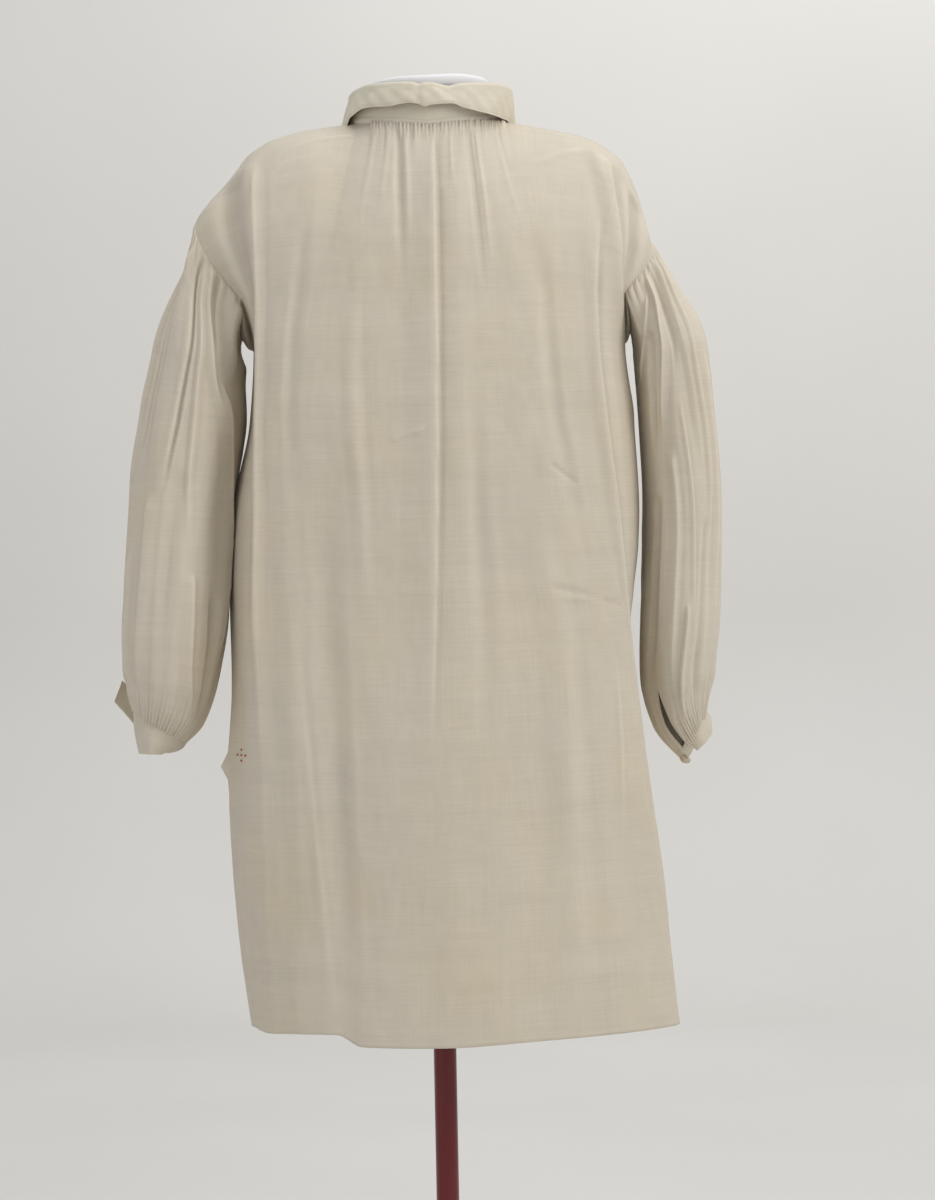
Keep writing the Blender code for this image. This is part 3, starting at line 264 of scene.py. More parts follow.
# Level sections of the body. y is the depth behind (back) or before (front) the side seams.
Section = namedtuple(
    "Section", "z left left_y left_ridge left_ridge_y centre_y right_ridge_y right_ridge right right_y"
)
BACK = [
    Section(1.270, -0.2040, 0.055, -0.1820, 0.090, 0.122, 0.090, 0.1805, 0.2120, 0.055),
    Section(1.216, -0.1950, 0.000, -0.1825, 0.094, 0.126, 0.094, 0.1810, 0.2120, 0.000),
    Section(1.140, -0.1975, 0.000, -0.1855, 0.097, 0.128, 0.097, 0.1870, 0.2215, 0.000),
    Section(1.050, -0.2140, 0.000, -0.1890, 0.099, 0.130, 0.099, 0.1960, 0.2230, 0.000),
    Section(0.940, -0.2235, 0.000, -0.1925, 0.100, 0.132, 0.100, 0.2055, 0.2120, 0.000),
    Section(0.840, -0.2270, 0.000, -0.1910, 0.100, 0.135, 0.100, 0.2150, 0.2080, 0.000),
    Section(0.764, -0.2320, 0.000, -0.1890, 0.100, 0.138, 0.100, 0.2225, 0.2140, 0.000),
    Section(0.620, -0.2270, 0.006, -0.1870, 0.098, 0.144, 0.102, 0.2385, 0.2260, 0.010),
    Section(0.468, -0.2110, 0.012, -0.1830, 0.096, 0.150, 0.104, 0.2535, 0.2400, 0.020),
]
FRONT = [
    Section(1.270, -0.2040, 0.055, -0.1760, 0.082, 0.104, 0.082, 0.1760, 0.2120, 0.055),
    Section(1.216, -0.1950, 0.000, -0.1760, 0.084, 0.106, 0.084, 0.1780, 0.2120, 0.000),
    Section(1.140, -0.1975, 0.000, -0.1780, 0.086, 0.108, 0.086, 0.1800, 0.2215, 0.000),
    Section(1.050, -0.2140, 0.000, -0.1800, 0.086, 0.108, 0.086, 0.1850, 0.2230, 0.000),
    Section(0.940, -0.2235, 0.000, -0.1840, 0.086, 0.106, 0.086, 0.1880, 0.2120, 0.000),
    Section(0.840, -0.2270, 0.000, -0.1860, 0.088, 0.107, 0.088, 0.1900, 0.2080, 0.000),
    Section(0.764, -0.2320, 0.000, -0.1880, 0.090, 0.108, 0.090, 0.1920, 0.2140, 0.000),
    Section(0.620, -0.2250, 0.004, -0.1880, 0.092, 0.112, 0.092, 0.1980, 0.2240, 0.006),
    Section(0.480, -0.2080, 0.008, -0.1860, 0.094, 0.116, 0.094, 0.2040, 0.2340, 0.012),
]
RIDGE_AT = 0.80

# How much the back's hem lies above its lowest point.
HemLift = namedtuple("HemLift", "across lift")
BACK_HEM = [
    HemLift(-1.00, 0.0100),
    HemLift(-0.62, 0.0135),
    HemLift(-0.46, 0.0140),
    HemLift(-0.34, 0.0015),
    HemLift(0.00, 0.0000),
    HemLift(0.31, 0.0055),
    HemLift(0.70, 0.0143),
    HemLift(1.00, 0.0180),
]


def linen_group():
    """Hand-spun linen: slubs both ways, faint bands, yellowing, painted light and shade on the folds, and
    the weave.
    """
    group, tree, start, end = new_group(
        "linen_cloth",
        [
            ("Colour", "NodeSocketColor", LINEN_COLOUR),
            ("Aged", "NodeSocketColor", AGED_COLOUR),
            ("Yellowing", "NodeSocketFloat", 0.4),
        ],
        [("Colour", "NodeSocketColor"), ("Roughness", "NodeSocketFloat"), ("Normal", "NodeSocketVector")],
    )
    cloth = tree.add("ShaderNodeUVMap", {"uv_map": "cloth"}).outputs["UV"]
    place = tree.place()
    crease = tree.add("ShaderNodeAttribute", {"attribute_name": "crease"}).outputs["Fac"]
    weft = tree.noise(cloth, (15.0, 640.0, 0.0), 3.0, 0.6)
    warp = tree.noise(cloth, (700.0, 10.0, 0.0), 2.0, 0.6)
    bands = tree.noise(cloth, (1.1, 46.0, 0.0), 3.0, 0.65)
    cloud = tree.noise(place, (5.0, 5.0, 4.0), 3.0)
    tone = tree.math("MULTIPLY_ADD", tree.span(weft, 0.25, 0.75, -1.0, 1.0), 0.036, 1.0)
    tone = tree.math("MULTIPLY_ADD", tree.span(warp, 0.25, 0.75, -1.0, 1.0), 0.022, tone)
    tone = tree.math("MULTIPLY_ADD", tree.span(bands, 0.25, 0.75, -1.0, 1.0), 0.020, tone)
    tone = tree.math("MULTIPLY_ADD", tree.span(cloud, 0.3, 0.7, -1.0, 1.0), 0.025, tone)
    # Painted light and shade: the crease attribute lifts the tone on raised folds and darkens it in the
    # hollows.
    tone = tree.math("MULTIPLY_ADD", crease, 0.085, tone)
    old = tree.span(tree.noise(place, (9.0, 9.0, 6.0), 4.0, 0.6), 0.42, 0.74)
    old = tree.math("MULTIPLY", old, start.outputs["Yellowing"])
    colour = tree.mix(old, start.outputs["Colour"], start.outputs["Aged"])
    lit = tree.add("ShaderNodeVectorMath", {"operation": "SCALE"}, Scale=tone)
    tree.put(lit.inputs[0], colour)
    across = tree.add("ShaderNodeSeparateXYZ", Vector=cloth)
    wave = 2 * math.pi / THREAD_PITCH
    warp_thread = tree.math("SINE", tree.math("MULTIPLY", across.outputs["X"], wave))
    weft_thread = tree.math("SINE", tree.math("MULTIPLY", across.outputs["Y"], wave))
    weave = tree.math("MULTIPLY", warp_thread, weft_thread)
    weave = tree.math("MULTIPLY_ADD", weft, 2.4, weave)
    weave = tree.math("MULTIPLY_ADD", warp, 1.6, weave)
    crumple = tree.noise(place, (60.0, 60.0, 22.0), 3.0, 0.55)
    soft = tree.add("ShaderNodeBump", Strength=0.45, Distance=0.0016, Height=crumple)
    fine = tree.add("ShaderNodeBump", Strength=0.5, Distance=0.00010, Height=weave)
    tree.put(fine.inputs["Normal"], soft.outputs["Normal"])
    tree.put(end.inputs["Colour"], lit.outputs[0])
    tree.put(end.inputs["Roughness"], tree.span(weft, 0.2, 0.8, 0.95, 0.80))
    tree.put(end.inputs["Normal"], fine.outputs["Normal"])
    return group


def stain_group():
    """How strongly one old stain shows: full at its middle, fading out to a ragged rim."""
    group, tree, start, end = new_group(
        "old_stain",
        [("Middle", "NodeSocketVector", (0.0, 0.0, 0.0)), ("Radius", "NodeSocketFloat", 0.03)],
        [("Mask", "NodeSocketFloat")],
    )
    place = tree.place()
    away = tree.add("ShaderNodeVectorMath", {"operation": "DISTANCE"})
    tree.put(away.inputs[0], place)
    tree.put(away.inputs[1], start.outputs["Middle"])
    ragged = tree.noise(place, (55.0, 55.0, 55.0), 3.0)
    share = tree.math("DIVIDE", away.outputs["Value"], start.outputs["Radius"])
    share = tree.math("MULTIPLY_ADD", ragged, 0.9, share)
    tree.put(end.inputs["Mask"], tree.span(share, 1.5, 0.7))
    return group


LINEN_GROUP = linen_group()
STAIN_GROUP = stain_group()
Stain = namedtuple("Stain", "x y z radius strength")


def linen(name, colour=LINEN_COLOUR, yellowing=0.4, stains=()):
    """A linen material of one tone, with its own old stains."""
    material, tree, shader = new_material(
        name, Sheen_Weight=0.12, Sheen_Roughness=0.6, Specular_IOR_Level=0.15
    )
    cloth = tree.add("ShaderNodeGroup", {"node_tree": LINEN_GROUP})
    cloth.inputs["Colour"].default_value = colour
    cloth.inputs["Yellowing"].default_value = yellowing
    shade = cloth.outputs["Colour"]
    for stain in stains:
        spot = tree.add("ShaderNodeGroup", {"node_tree": STAIN_GROUP})
        spot.inputs["Middle"].default_value = (stain.x, stain.y, stain.z)
        spot.inputs["Radius"].default_value = stain.radius
        strength = tree.math("MULTIPLY", spot.outputs["Mask"], stain.strength)
        shade = tree.mix(strength, shade, AGED_COLOUR)
    tree.put(shader.inputs["Base Color"], shade)
    tree.put(shader.inputs["Roughness"], cloth.outputs["Roughness"])
    tree.put(shader.inputs["Normal"], cloth.outputs["Normal"])
    return material


def column(rows, name):
    return np.array([getattr(row, name) for row in rows], dtype=float)


def read(rows, key, name, at):
    """A column of a table at any place between its rows, on a curve that never overshoots."""
    x = column(rows, key)
    y = column(rows, name)
    if x[0] > x[-1]:
        x = x[::-1]
        y = y[::-1]
    return curve(x, y, at)


def slopes(y, step):
    """Slopes at the points of a curve that never let it overshoot them."""
    rise = np.diff(y, axis=0) / step.reshape((-1,) + (1,) * (y.ndim - 1))
    slope = np.zeros_like(y)
    same = rise[:-1] * rise[1:] > 0
    total = np.where(same, rise[:-1] + rise[1:], 1.0)
    slope[1:-1] = np.where(same, 2 * rise[:-1] * rise[1:] / total, 0.0)
    slope[0] = rise[0]
    slope[-1] = rise[-1]
    return slope


def between(start, end, start_slope, end_slope, step, t):
    """A cubic from one point of a curve (t 0) to the next (t 1)."""
    return (
        (2 * t**3 - 3 * t**2 + 1) * start
        + (t**3 - 2 * t**2 + t) * step * start_slope
        + (3 * t**2 - 2 * t**3) * end
        + (t**3 - t**2) * step * end_slope
    )


def curve(x, y, at):
    """A smooth curve through the points (x, y) that never overshoots them."""
    step = np.diff(x)
    slope = slopes(y, step)
    at = np.clip(np.asarray(at, dtype=float), x[0], x[-1])
    i = np.clip(np.searchsorted(x, at, side="right") - 1, 0, len(x) - 2)
    return between(y[i], y[i + 1], slope[i], slope[i + 1], step[i], (at - x[i]) / step[i])


def ease(t):
    t = np.clip(t, 0.0, 1.0)
    return t * t * (3 - 2 * t)


def unit(v):
    return v / np.maximum(np.linalg.norm(v, axis=-1, keepdims=True), 1e-12)


def neck_point(angle):
    """The neck seam: angle 0 at the back, positive towards the right."""
    from_back = np.abs((angle + math.pi) % (2 * math.pi) - math.pi)
    z = read(NECK_HEIGHTS, "angle", "z", from_back)
    x = NECK_HALF_WIDTH * np.sin(angle)
    y = NECK_Y - NECK_HALF_DEPTH * np.cos(angle)
    return np.stack([x, y, z], axis=-1)


def side_name(hand):
    return "left" if hand < 0 else "right"


def strap_point(hand, along, across):
    """The shoulder strap: along from neck 0 to sleeve 1, across from back -1 to front 1."""
    side = side_name(hand)
    x = hand * read(SHOULDERS, "along", side + "_x", along)
    z = read(SHOULDERS, "along", side + "_z", along)
    half = read(SHOULDERS, "along", "half_strap", along)
    out = ease((along - 0.7) / 0.3)
    drop = STRAP_CROWN * across**2
    top = np.stack([x - hand * drop * out, half * across, z - drop], axis=-1)
    middle = (STRAP_FROM + STRAP_TO) / 2
    angle = hand * (middle + (STRAP_TO - STRAP_FROM) / 2 * across)
    near_neck = (1 - ease(along / 0.18))[..., None]
    return near_neck * neck_point(angle) + (1 - near_neck) * top


def top_edge(face, u):
    """The top edge of the back (face -1) or the front (face 1), from left to right."""
    reach = STRAP_FROM if face < 0 else math.pi - STRAP_TO
    turn = np.clip(u / GATHER_EDGE, -1, 1) * reach
    angle = turn if face < 0 else math.pi - turn
    neck = neck_point(angle)
    along = np.clip((np.abs(u) - GATHER_EDGE) / (1 - GATHER_EDGE), 0, 1)
    on_strap = np.where(
        (u < 0)[..., None],
        strap_point(-1, along, face * np.ones_like(along)),
        strap_point(1, along, face * np.ones_like(along)),
    )
    return np.where((np.abs(u) < GATHER_EDGE)[..., None], neck, on_strap)


def section_point(rows, face, z, u):
    """A level section of the body at height z."""
    left = [read(rows, "z", name, z) for name in ("left", "left_ridge")]
    right = [read(rows, "z", name, z) for name in ("right_ridge", "right")]
    xs = np.stack(left + [np.zeros_like(z)] + right)
    depths = ("left_y", "left_ridge_y", "centre_y", "right_ridge_y", "right_y")
    ys = np.stack([read(rows, "z", name, z) for name in depths])
    x = section_curve(xs, u)
    y = section_curve(ys, u)
    return np.stack([x, face * y, z], axis=-1)


def section_curve(values, u):
    """A curve through five values at the side, ridge, centre, ridge and side."""
    places = np.array([-1.0, -RIDGE_AT, 0.0, RIDGE_AT, 1.0])
    step = np.diff(places)
    slope = slopes(values, step)
    i = np.clip(np.searchsorted(places, u, side="right") - 1, 0, 3)
    k = np.arange(u.size)
    t = (u - places[i]) / step[i]
    return between(values[i, k], values[i + 1, k], slope[i, k], slope[i + 1, k], step[i], t)


def body_point(face, u, v):
    """The smooth back (face -1) or front (face 1): u -1 to 1 across, v 0 to 1 down."""
    u, v = np.broadcast_arrays(np.asarray(u, float), np.asarray(v, float))
    shape = u.shape
    u = u.ravel()
    v = v.ravel()
    rows = BACK if face < 0 else FRONT
    hem = HEM_Z + read(BACK_HEM, "across", "lift", u) if face < 0 else np.full_like(u, FRONT_HEM_Z)
    down = np.clip((v - YOKE_PART) / (1 - YOKE_PART), 0, 1)
    trunk = section_point(rows, face, UNDERARM_Z - (UNDERARM_Z - hem) * down, u)
    top = top_edge(face, u)
    chest = section_point(rows, face, np.full_like(u, UNDERARM_Z), u)
    start = np.radians(34 - 24 * ease((np.abs(u) - 0.25) / 0.35))
    turn = start + (math.pi / 2 - start) * np.clip(v / YOKE_PART, 0, 1)
    out = (np.sin(turn) - np.sin(start)) / (1 - np.sin(start))
    fall = (np.cos(start) - np.cos(turn)) / np.cos(start)
    arm = ease((np.abs(u) - 0.80) / 0.20)
    bulge = np.where(u < 0, -0.030, 0.010) * arm * np.sin(math.pi * np.clip(v / YOKE_PART, 0, 1))
    yoke = np.stack(
        [
            top[:, 0] + (chest[:, 0] - top[:, 0]) * fall + bulge,
            top[:, 1] + (chest[:, 1] - top[:, 1]) * out,
            top[:, 2] + (chest[:, 2] - top[:, 2]) * fall,
        ],
        axis=-1,
    )
    return np.where((v < YOKE_PART)[:, None], yoke, trunk).reshape(shape + (3,))


def bump(x, left, right):
    """A fold's profile: 1 at its line, falling to 0 at its two reaches."""
    t = np.where(x < 0, -x / left, x / right)
    return 1 - ease(t)


def body_normal(face, u, v):
    """The outward normal of the smooth body."""
    e = 0.002
    across = body_point(face, np.minimum(u + e, 1), v) - body_point(face, np.maximum(u - e, -1), v)
    down = body_point(face, u, np.minimum(v + e, 1)) - body_point(face, u, np.maximum(v - e, 0))
    return unit(np.cross(down, across) if face < 0 else np.cross(across, down))


def sheet_mesh(name, points, cloth, crease, material, outward):
    """A sheet from rows of points. cloth is each point's place on the flat linen, in metres,
    and crease is above 0 for painted light on raised edges and below 0 for painted shade in hollows."""
    rows, columns = points.shape[:2]
    index = np.arange(rows * columns).reshape(rows, columns)
    corners = [index[:-1, :-1], index[:-1, 1:], index[1:, 1:], index[1:, :-1]]
    faces = np.stack(corners, axis=-1).reshape(-1, 4)
    middle = points[rows // 2, columns // 2]
    side = np.cross(
        points[rows // 2, columns // 2 + 1] - middle, points[rows // 2 + 1, columns // 2] - middle
    )
    if side @ np.asarray(outward, float) < 0:
        faces = faces[:, ::-1]
    obj = new_mesh(name, points.reshape(-1, 3), faces)
    layer = obj.data.uv_layers.new(name="cloth")
    layer.data.foreach_set("uv", cloth.reshape(-1, 2)[faces.ravel()].astype(np.float32).ravel())
    # The crease attribute carries painted light on raised edges and painted shade in hollows into the
    # linen's tone.
    tone_layer = obj.data.attributes.new("crease", "FLOAT", "POINT")
    tone_layer.data.foreach_set("value", np.clip(crease, -1, 1).astype(np.float32).ravel())
    obj.data.materials.append(material)
    return obj


# A crease runs down the cloth through three places across it, from top to foot. left and
# right are how far it reaches, and crisp is 1 for a pressed edge and 0 for a soft roll.
Crease = namedtuple("Crease", "top_at middle_at foot_at top foot left right height crisp")
# The parts of a crease's length over which it rises, from a seam or in the open, and dies out.
SEAM_START = 0.12
LOOSE_START = 0.40
CREASE_END = 0.55


def fold_profile(away, left, right, crisp):
    """A fold's height across its line, from a soft roll (crisp 0) to a pressed edge (1)."""
    reach = np.where(away < 0, -away / left, away / right)
    soft = 1 - ease(reach)
    pressed = np.clip(1 - reach, 0, 1) ** 1.5
    return soft + (pressed - soft) * crisp


def crease_height(creases, across, down):
    """The height of all the creases out of the smooth cloth."""
    height = np.zeros_like(across)
    for crease in creases:
        part = np.clip((down - crease.top) / (crease.foot - crease.top), 0, 1)
        bend = 4 * part * (1 - part)
        line = crease.top_at + (crease.foot_at - crease.top_at) * part
        line = line + (crease.middle_at - (crease.top_at + crease.foot_at) / 2) * bend
        shape = fold_profile(across - line, crease.left, crease.right, crease.crisp)
        start = SEAM_START if crease.top < 0.1 else LOOSE_START
        fade = ease(part / start) * ease((1 - part) / CREASE_END)
        inside = (down >= crease.top) & (down <= crease.foot)
        height = height + np.where(inside, crease.height * fade * shape, 0)
    return height


def gather_height(across, down, start, end, count, height, reach, seed):
    """Fine gathers between two places, each with its own height and length."""
    chance = np.random.default_rng(seed)
    tall = chance.uniform(0.55, 1.25, count)
    length = reach * chance.uniform(0.35, 1.25, count)
    place = (across - start) / (end - start) * count
    inside = (place > 0) & (place < count)
    k = np.clip(place.astype(int), 0, count - 1)
    wave = np.abs(np.sin(np.pi * place)) ** 0.8
    fade = 1 - ease(down / length[k])
    return np.where(inside, height * tall[k] * wave * fade, 0)


# A dent is a short crease along a straight line from one place to another.
Dent = namedtuple("Dent", "across down to_across to_down width height")


def dent_height(dents, across, down, wide, long):
    """The height of the short creases on a piece of that real width and length."""
    height = np.zeros_like(across)
    x = across * wide
    y = down * long
    for dent in dents:
        x0, y0, x1, y1 = dent.across * wide, dent.down * long, dent.to_across * wide, dent.to_down * long
        run = max(math.hypot(x1 - x0, y1 - y0), 1e-6)
        along = ((x - x0) * (x1 - x0) + (y - y0) * (y1 - y0)) / run
        aside = ((x - x0) * (y1 - y0) - (y - y0) * (x1 - x0)) / run
        past = np.maximum(np.maximum(-along, along - run), 0)
        height = height + dent.height * np.exp(-(aside**2 + (past * 0.5) ** 2) / dent.width**2)
    return height


BACK_CREASES = [
    Crease(0.033, 0.024, -0.034, 0.005, 0.74, 0.150, 0.012, 0.0060, 0.8),
    Crease(0.048, 0.040, -0.018, 0.005, 0.72, 0.010, 0.110, -0.0050, 0.6),
    Crease(-0.148, -0.132, -0.115, 0.005, 0.24, 0.030, 0.034, -0.0032, 0.0),
    Crease(-0.112, -0.098, -0.080, 0.010, 0.19, 0.016, 0.030, 0.0016, 0.4),
    Crease(0.226, 0.246, 0.262, 0.004, 0.26, 0.036, 0.018, -0.0026, 0.2),
    Crease(0.262, 0.282, 0.300, 0.006, 0.24, 0.016, 0.036, 0.0022, 0.5),
    Crease(-0.280, -0.300, -0.330, 0.006, 0.17, 0.026, 0.034, 0.0011, 0.1),
    Crease(-0.200, -0.210, -0.230, 0.006, 0.15, 0.020, 0.024, 0.0009, 0.1),
    Crease(0.120, 0.125, 0.130, 0.006, 0.12, 0.020, 0.020, 0.0014, 0.3),
    Crease(0.420, 0.440, 0.500, 0.006, 0.20, 0.034, 0.034, 0.0010, 0.1),
    Crease(-0.822, -0.808, -0.795, 0.030, 0.78, 0.030, 0.070, 0.0060, 0.9),
    Crease(-0.880, -0.880, -0.870, 0.040, 0.32, 0.050, 0.045, -0.0080, 0.0),
    Crease(0.800, 0.860, 0.985, 0.040, 0.27, 0.070, 0.014, 0.0070, 0.9),
    Crease(0.895, 0.930, 1.000, 0.060, 0.27, 0.030, 0.050, -0.0050, 0.0),
    Crease(0.772, 0.795, 0.790, 0.110, 0.70, 0.070, 0.016, 0.0046, 0.85),
    Crease(0.790, 0.812, 0.806, 0.110, 0.66, 0.012, 0.060, -0.0030, 0.5),
    Crease(0.870, 0.850, 0.800, 0.600, 1.05, 0.050, 0.022, 0.0034, 0.8),
    Crease(-0.420, -0.430, -0.320, 0.320, 1.20, 0.110, 0.090, -0.0042, 0.0),
    Crease(-0.590, -0.550, -0.430, 0.560, 1.02, 0.050, 0.026, 0.0012, 0.6),
    Crease(-0.620, -0.620, -0.640, 0.360, 1.04, 0.090, 0.080, 0.0024, 0.1),
    Crease(0.420, 0.415, 0.375, 0.400, 1.10, 0.090, 0.070, 0.0034, 0.1),
    Crease(0.620, 0.600, 0.560, 0.600, 0.82, 0.020, 0.012, 0.0012, 0.9),
    Crease(0.200, 0.190, 0.170, 0.300, 0.75, 0.050, 0.060, -0.0026, 0.0),
    Crease(-0.330, -0.300, -0.280, 0.200, 0.62, 0.060, 0.050, 0.0024, 0.1),
    Crease(0.520, 0.560, 0.600, 0.150, 0.55, 0.060, 0.050, -0.0026, 0.0),
    Crease(-0.560, -0.580, -0.600, 0.120, 0.50, 0.050, 0.060, -0.0022, 0.0),
]
BACK_DENTS = [
    Dent(-0.150, 0.388, -0.050, 0.381, 0.0020, 0.0010),
    Dent(0.515, 0.422, 0.590, 0.437, 0.0022, -0.0014),
    Dent(0.440, 0.546, 0.700, 0.566, 0.0026, -0.0012),
    Dent(0.470, 0.556, 0.640, 0.559, 0.0022, 0.0009),
    Dent(-0.620, 0.050, -0.500, 0.040, 0.0040, 0.0010),
    Dent(0.560, 0.090, 0.680, 0.060, 0.0050, 0.0012),
]
BACK_WIDE = 0.24
BACK_LONG = 0.98
GATHER_FROM = -0.315
GATHER_TO = 0.495
# The gathers' close columns have spread out evenly this far down.
GATHER_SPREAD = 0.13
HALF_CLOTH = 0.36
HEM_RISE = 0.012


# The width, length and height of linen's unevenness, from coarse to fine.
UNEVEN_WAVES = ((0.050, 0.110, 0.0013), (0.021, 0.050, 0.0006), (0.009, 0.016, 0.00022))


def uneven(across, down, seed):
    """The slight unevenness of hand-washed linen. across and down are in metres."""
    height = np.zeros_like(across)
    for step, (wide, long, tall) in enumerate(UNEVEN_WAVES):
        chance = np.random.default_rng(seed * 10 + step).uniform(-1, 1, (97, 89))
        x = across / wide + 30.3
        y = down / long + 17.7
        i, j = np.floor(x).astype(int), np.floor(y).astype(int)
        a, b = ease(x - i), ease(y - j)
        i0, i1, j0, j1 = i % 97, (i + 1) % 97, j % 89, (j + 1) % 89
        low = chance[i0, j0] * (1 - a) + chance[i1, j0] * a
        high = chance[i0, j1] * (1 - a) + chance[i1, j1] * a
        height = height + tall * (low * (1 - b) + high * b)
    return height


def seam_hold(u, v):
    """Relief dies away at the armholes and at the sewn sides, and lives again at the vents."""
    return 1 - (1 - ease((1 - np.abs(u)) / 0.045)) * ease((0.74 - v) / 0.05)


def side_swell(u, v):
    """The left side hangs out a little between the underarm and the vent."""
    return -0.0068 * ease((-u - 0.84) / 0.15) * bump(v - 0.46, 0.20, 0.20)


def back_relief(u, v):
    """All that lifts the back's linen off its smooth shape."""
    height = crease_height(BACK_CREASES, u, v)
    height = height + dent_height(BACK_DENTS, u, v, BACK_WIDE, BACK_LONG)
    height = height + gather_height(u, v, GATHER_FROM, GATHER_TO, 42, 0.0027, 0.038, 5)
    height = height + gather_height(u, v, GATHER_FROM, GATHER_TO, 17, 0.0012, 0.095, 11)
    roll = np.sin(9.0 * u + 2.2 * np.sin(3.0 * v)) + 0.7 * np.sin(17.0 * u - 1.5 * v + 1.0)
    height = height + 0.0005 * roll * ease((v - 0.03) / 0.2) * ease((1 - np.abs(u)) / 0.15)
    height = height + uneven(u * BACK_WIDE, v * BACK_LONG, 3) * ease((v - 0.005) / 0.04)
    return height * seam_hold(u, v)


def fold_light_and_shade(height, reach):
    """How far a relief stands proud, from -1 to 1, for painted light on folds and painted shade in
    hollows.
    """
    flat = height.copy()
    for _ in range(reach):
        flat[:, 1:-1] = (flat[:, :-2] + flat[:, 1:-1] + flat[:, 2:]) / 3
    return np.clip((height - flat) / 0.0006, -1, 1)


def crowded_columns(count, start, end, share):
    """Columns across a sheet, share of them between two places and the rest even."""
    left = max(int(count * (1 - share) * (start + 1) / (2 - end + start)), 3)
    dense = int(count * share)
    right = count - left - dense
    parts = [np.linspace(-1, start, left, endpoint=False), np.linspace(start, end, dense, endpoint=False)]
    return np.concatenate(parts + [np.linspace(end, 1, right)])


def hem_turn(points, normal, rise, thick=0.0009):
    """Rows that turn a lower edge in and up behind itself."""
    up = unit(points[-4] - points[-1])
    edge = points[-1]
    back = edge - normal[-1] * thick
    return np.stack([edge - normal[-1] * thick / 2 - up * thick / 2, back, back + up * rise])


def body_grid(rows, crowd, first):
    """Places across and down the body's linen. The gathers' close columns spread lower down."""
    plain = np.linspace(first, 1, crowd.size)
    blend = ease(rows / GATHER_SPREAD)[:, None]
    u = crowd[None, :] * (1 - blend) + plain[None, :] * blend
    return u, np.broadcast_to(rows[:, None], u.shape).copy()


def hemmed_sheet(name, points, normal, places, height, material, facing, fold=0.0):
    """A length of the body's linen with its foot turned up. places are on the flat cloth."""
    points = np.concatenate([points, hem_turn(points, normal, HEM_RISE)])
    foot = places[-1:]
    turned = [foot + np.array([0, fold]), foot, foot - np.array([0, HEM_RISE])]
    crease = np.concatenate([fold_light_and_shade(height, 6), np.zeros((3, height.shape[1]))])
    return sheet_mesh(name, points, np.concatenate([places] + turned), crease, material, facing)


def make_back():
    rows = np.concatenate([np.linspace(0, 0.06, 44, endpoint=False), np.linspace(0.06, 1, 330)])
    crowd = crowded_columns(246, GATHER_FROM - 0.01, GATHER_TO + 0.01, 0.80)
    u, v = body_grid(rows, crowd, -1)
    height = back_relief(u, v)
    base = body_point(-1, u, v)
    normal = body_normal(-1, u, v)
    points = base + normal * height[..., None]
    side = 0.0085 * bump(u - 0.94, 0.10, 0.05) * ease((v - 0.20) / 0.08) * ease((0.62 - v) / 0.12)
    points[..., 0] += side + side_swell(u, v)
    points[..., 1] = np.minimum(points[..., 1], -0.0002)
    places = np.stack([u * HALF_CLOTH, v], axis=-1)
    stains = [
        Stain(-0.085, -0.145, 0.632, 0.034, 0.42),
        Stain(0.165, -0.130, 0.600, 0.030, 0.35),
        Stain(0.02, -0.145, 0.540, 0.050, 0.22),
    ]
    material = linen("linen_back", stains=stains)
    return hemmed_sheet("back_linen", points, normal, places, height, material, (0, -1, 0), 0.001)


back = make_back()
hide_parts("back")
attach(back, "root")


# Front. The front is the same length of linen, slit down from the neck and gathered on each
# side of the slit. Its sides meet the back's, and its hem is a little shorter.
FRONT_SLIT = 0.25
FRONT_LONG = 0.99
FRONT_CREASES = [
    Crease(-0.160, -0.190, -0.230, 0.006, 0.60, 0.060, 0.030, 0.0060, 0.6),
    Crease(0.170, 0.210, 0.260, 0.006, 0.55, 0.030, 0.060, 0.0060, 0.6),
    Crease(-0.090, -0.110, -0.120, 0.004, 0.22, 0.020, 0.020, -0.0026, 0.1),
    Crease(0.090, 0.105, 0.120, 0.004, 0.20, 0.020, 0.020, -0.0026, 0.1),
    Crease(-0.300, -0.330, -0.380, 0.006, 0.28, 0.030, 0.030, 0.0024, 0.3),
    Crease(0.310, 0.340, 0.390, 0.006, 0.26, 0.030, 0.030, 0.0024, 0.3),
    Crease(-0.520, -0.540, -0.500, 0.250, 1.10, 0.070, 0.060, 0.0050, 0.4),
    Crease(0.560, 0.550, 0.580, 0.300, 1.10, 0.060, 0.070, 0.0050, 0.4),
    Crease(-0.880, -0.880, -0.880, 0.050, 0.30, 0.050, 0.050, -0.0070, 0.0),
    Crease(0.880, 0.880, 0.880, 0.050, 0.30, 0.050, 0.050, -0.0070, 0.0),
    Crease(-0.800, -0.800, -0.790, 0.050, 0.85, 0.040, 0.060, 0.0040, 0.7),
    Crease(0.800, 0.800, 0.790, 0.050, 0.85, 0.060, 0.040, 0.0040, 0.7),
    Crease(0.060, 0.040, 0.020, 0.420, 1.10, 0.080, 0.080, -0.0045, 0.0),
    Crease(-0.250, -0.240, -0.260, 0.550, 1.10, 0.060, 0.050, 0.0034, 0.4),
    Crease(0.300, 0.310, 0.300, 0.500, 1.10, 0.050, 0.060, 0.0034, 0.4),
]


def front_relief(u, v):
    height = crease_height(FRONT_CREASES, u, v)
    for start, end, seed in ((-0.40, -0.025, 21), (0.025, 0.40, 22)):
        height = height + gather_height(u, v, start, end, 18, 0.0019, 0.030, seed)
        height = height + gather_height(u, v, start, end, 7, 0.0011, 0.090, seed + 10)
    roll = np.sin(8.0 * u + 1.8 * np.sin(3.4 * v) + 0.8) + 0.7 * np.sin(15.0 * u - 1.1 * v)
    height = height + 0.0008 * roll * ease((v - 0.03) / 0.2) * ease((1 - np.abs(u)) / 0.15)
    height = height + uneven(u * BACK_WIDE, v * BACK_LONG, 4) * ease((v - 0.005) / 0.04)
    return height * seam_hold(u, v)


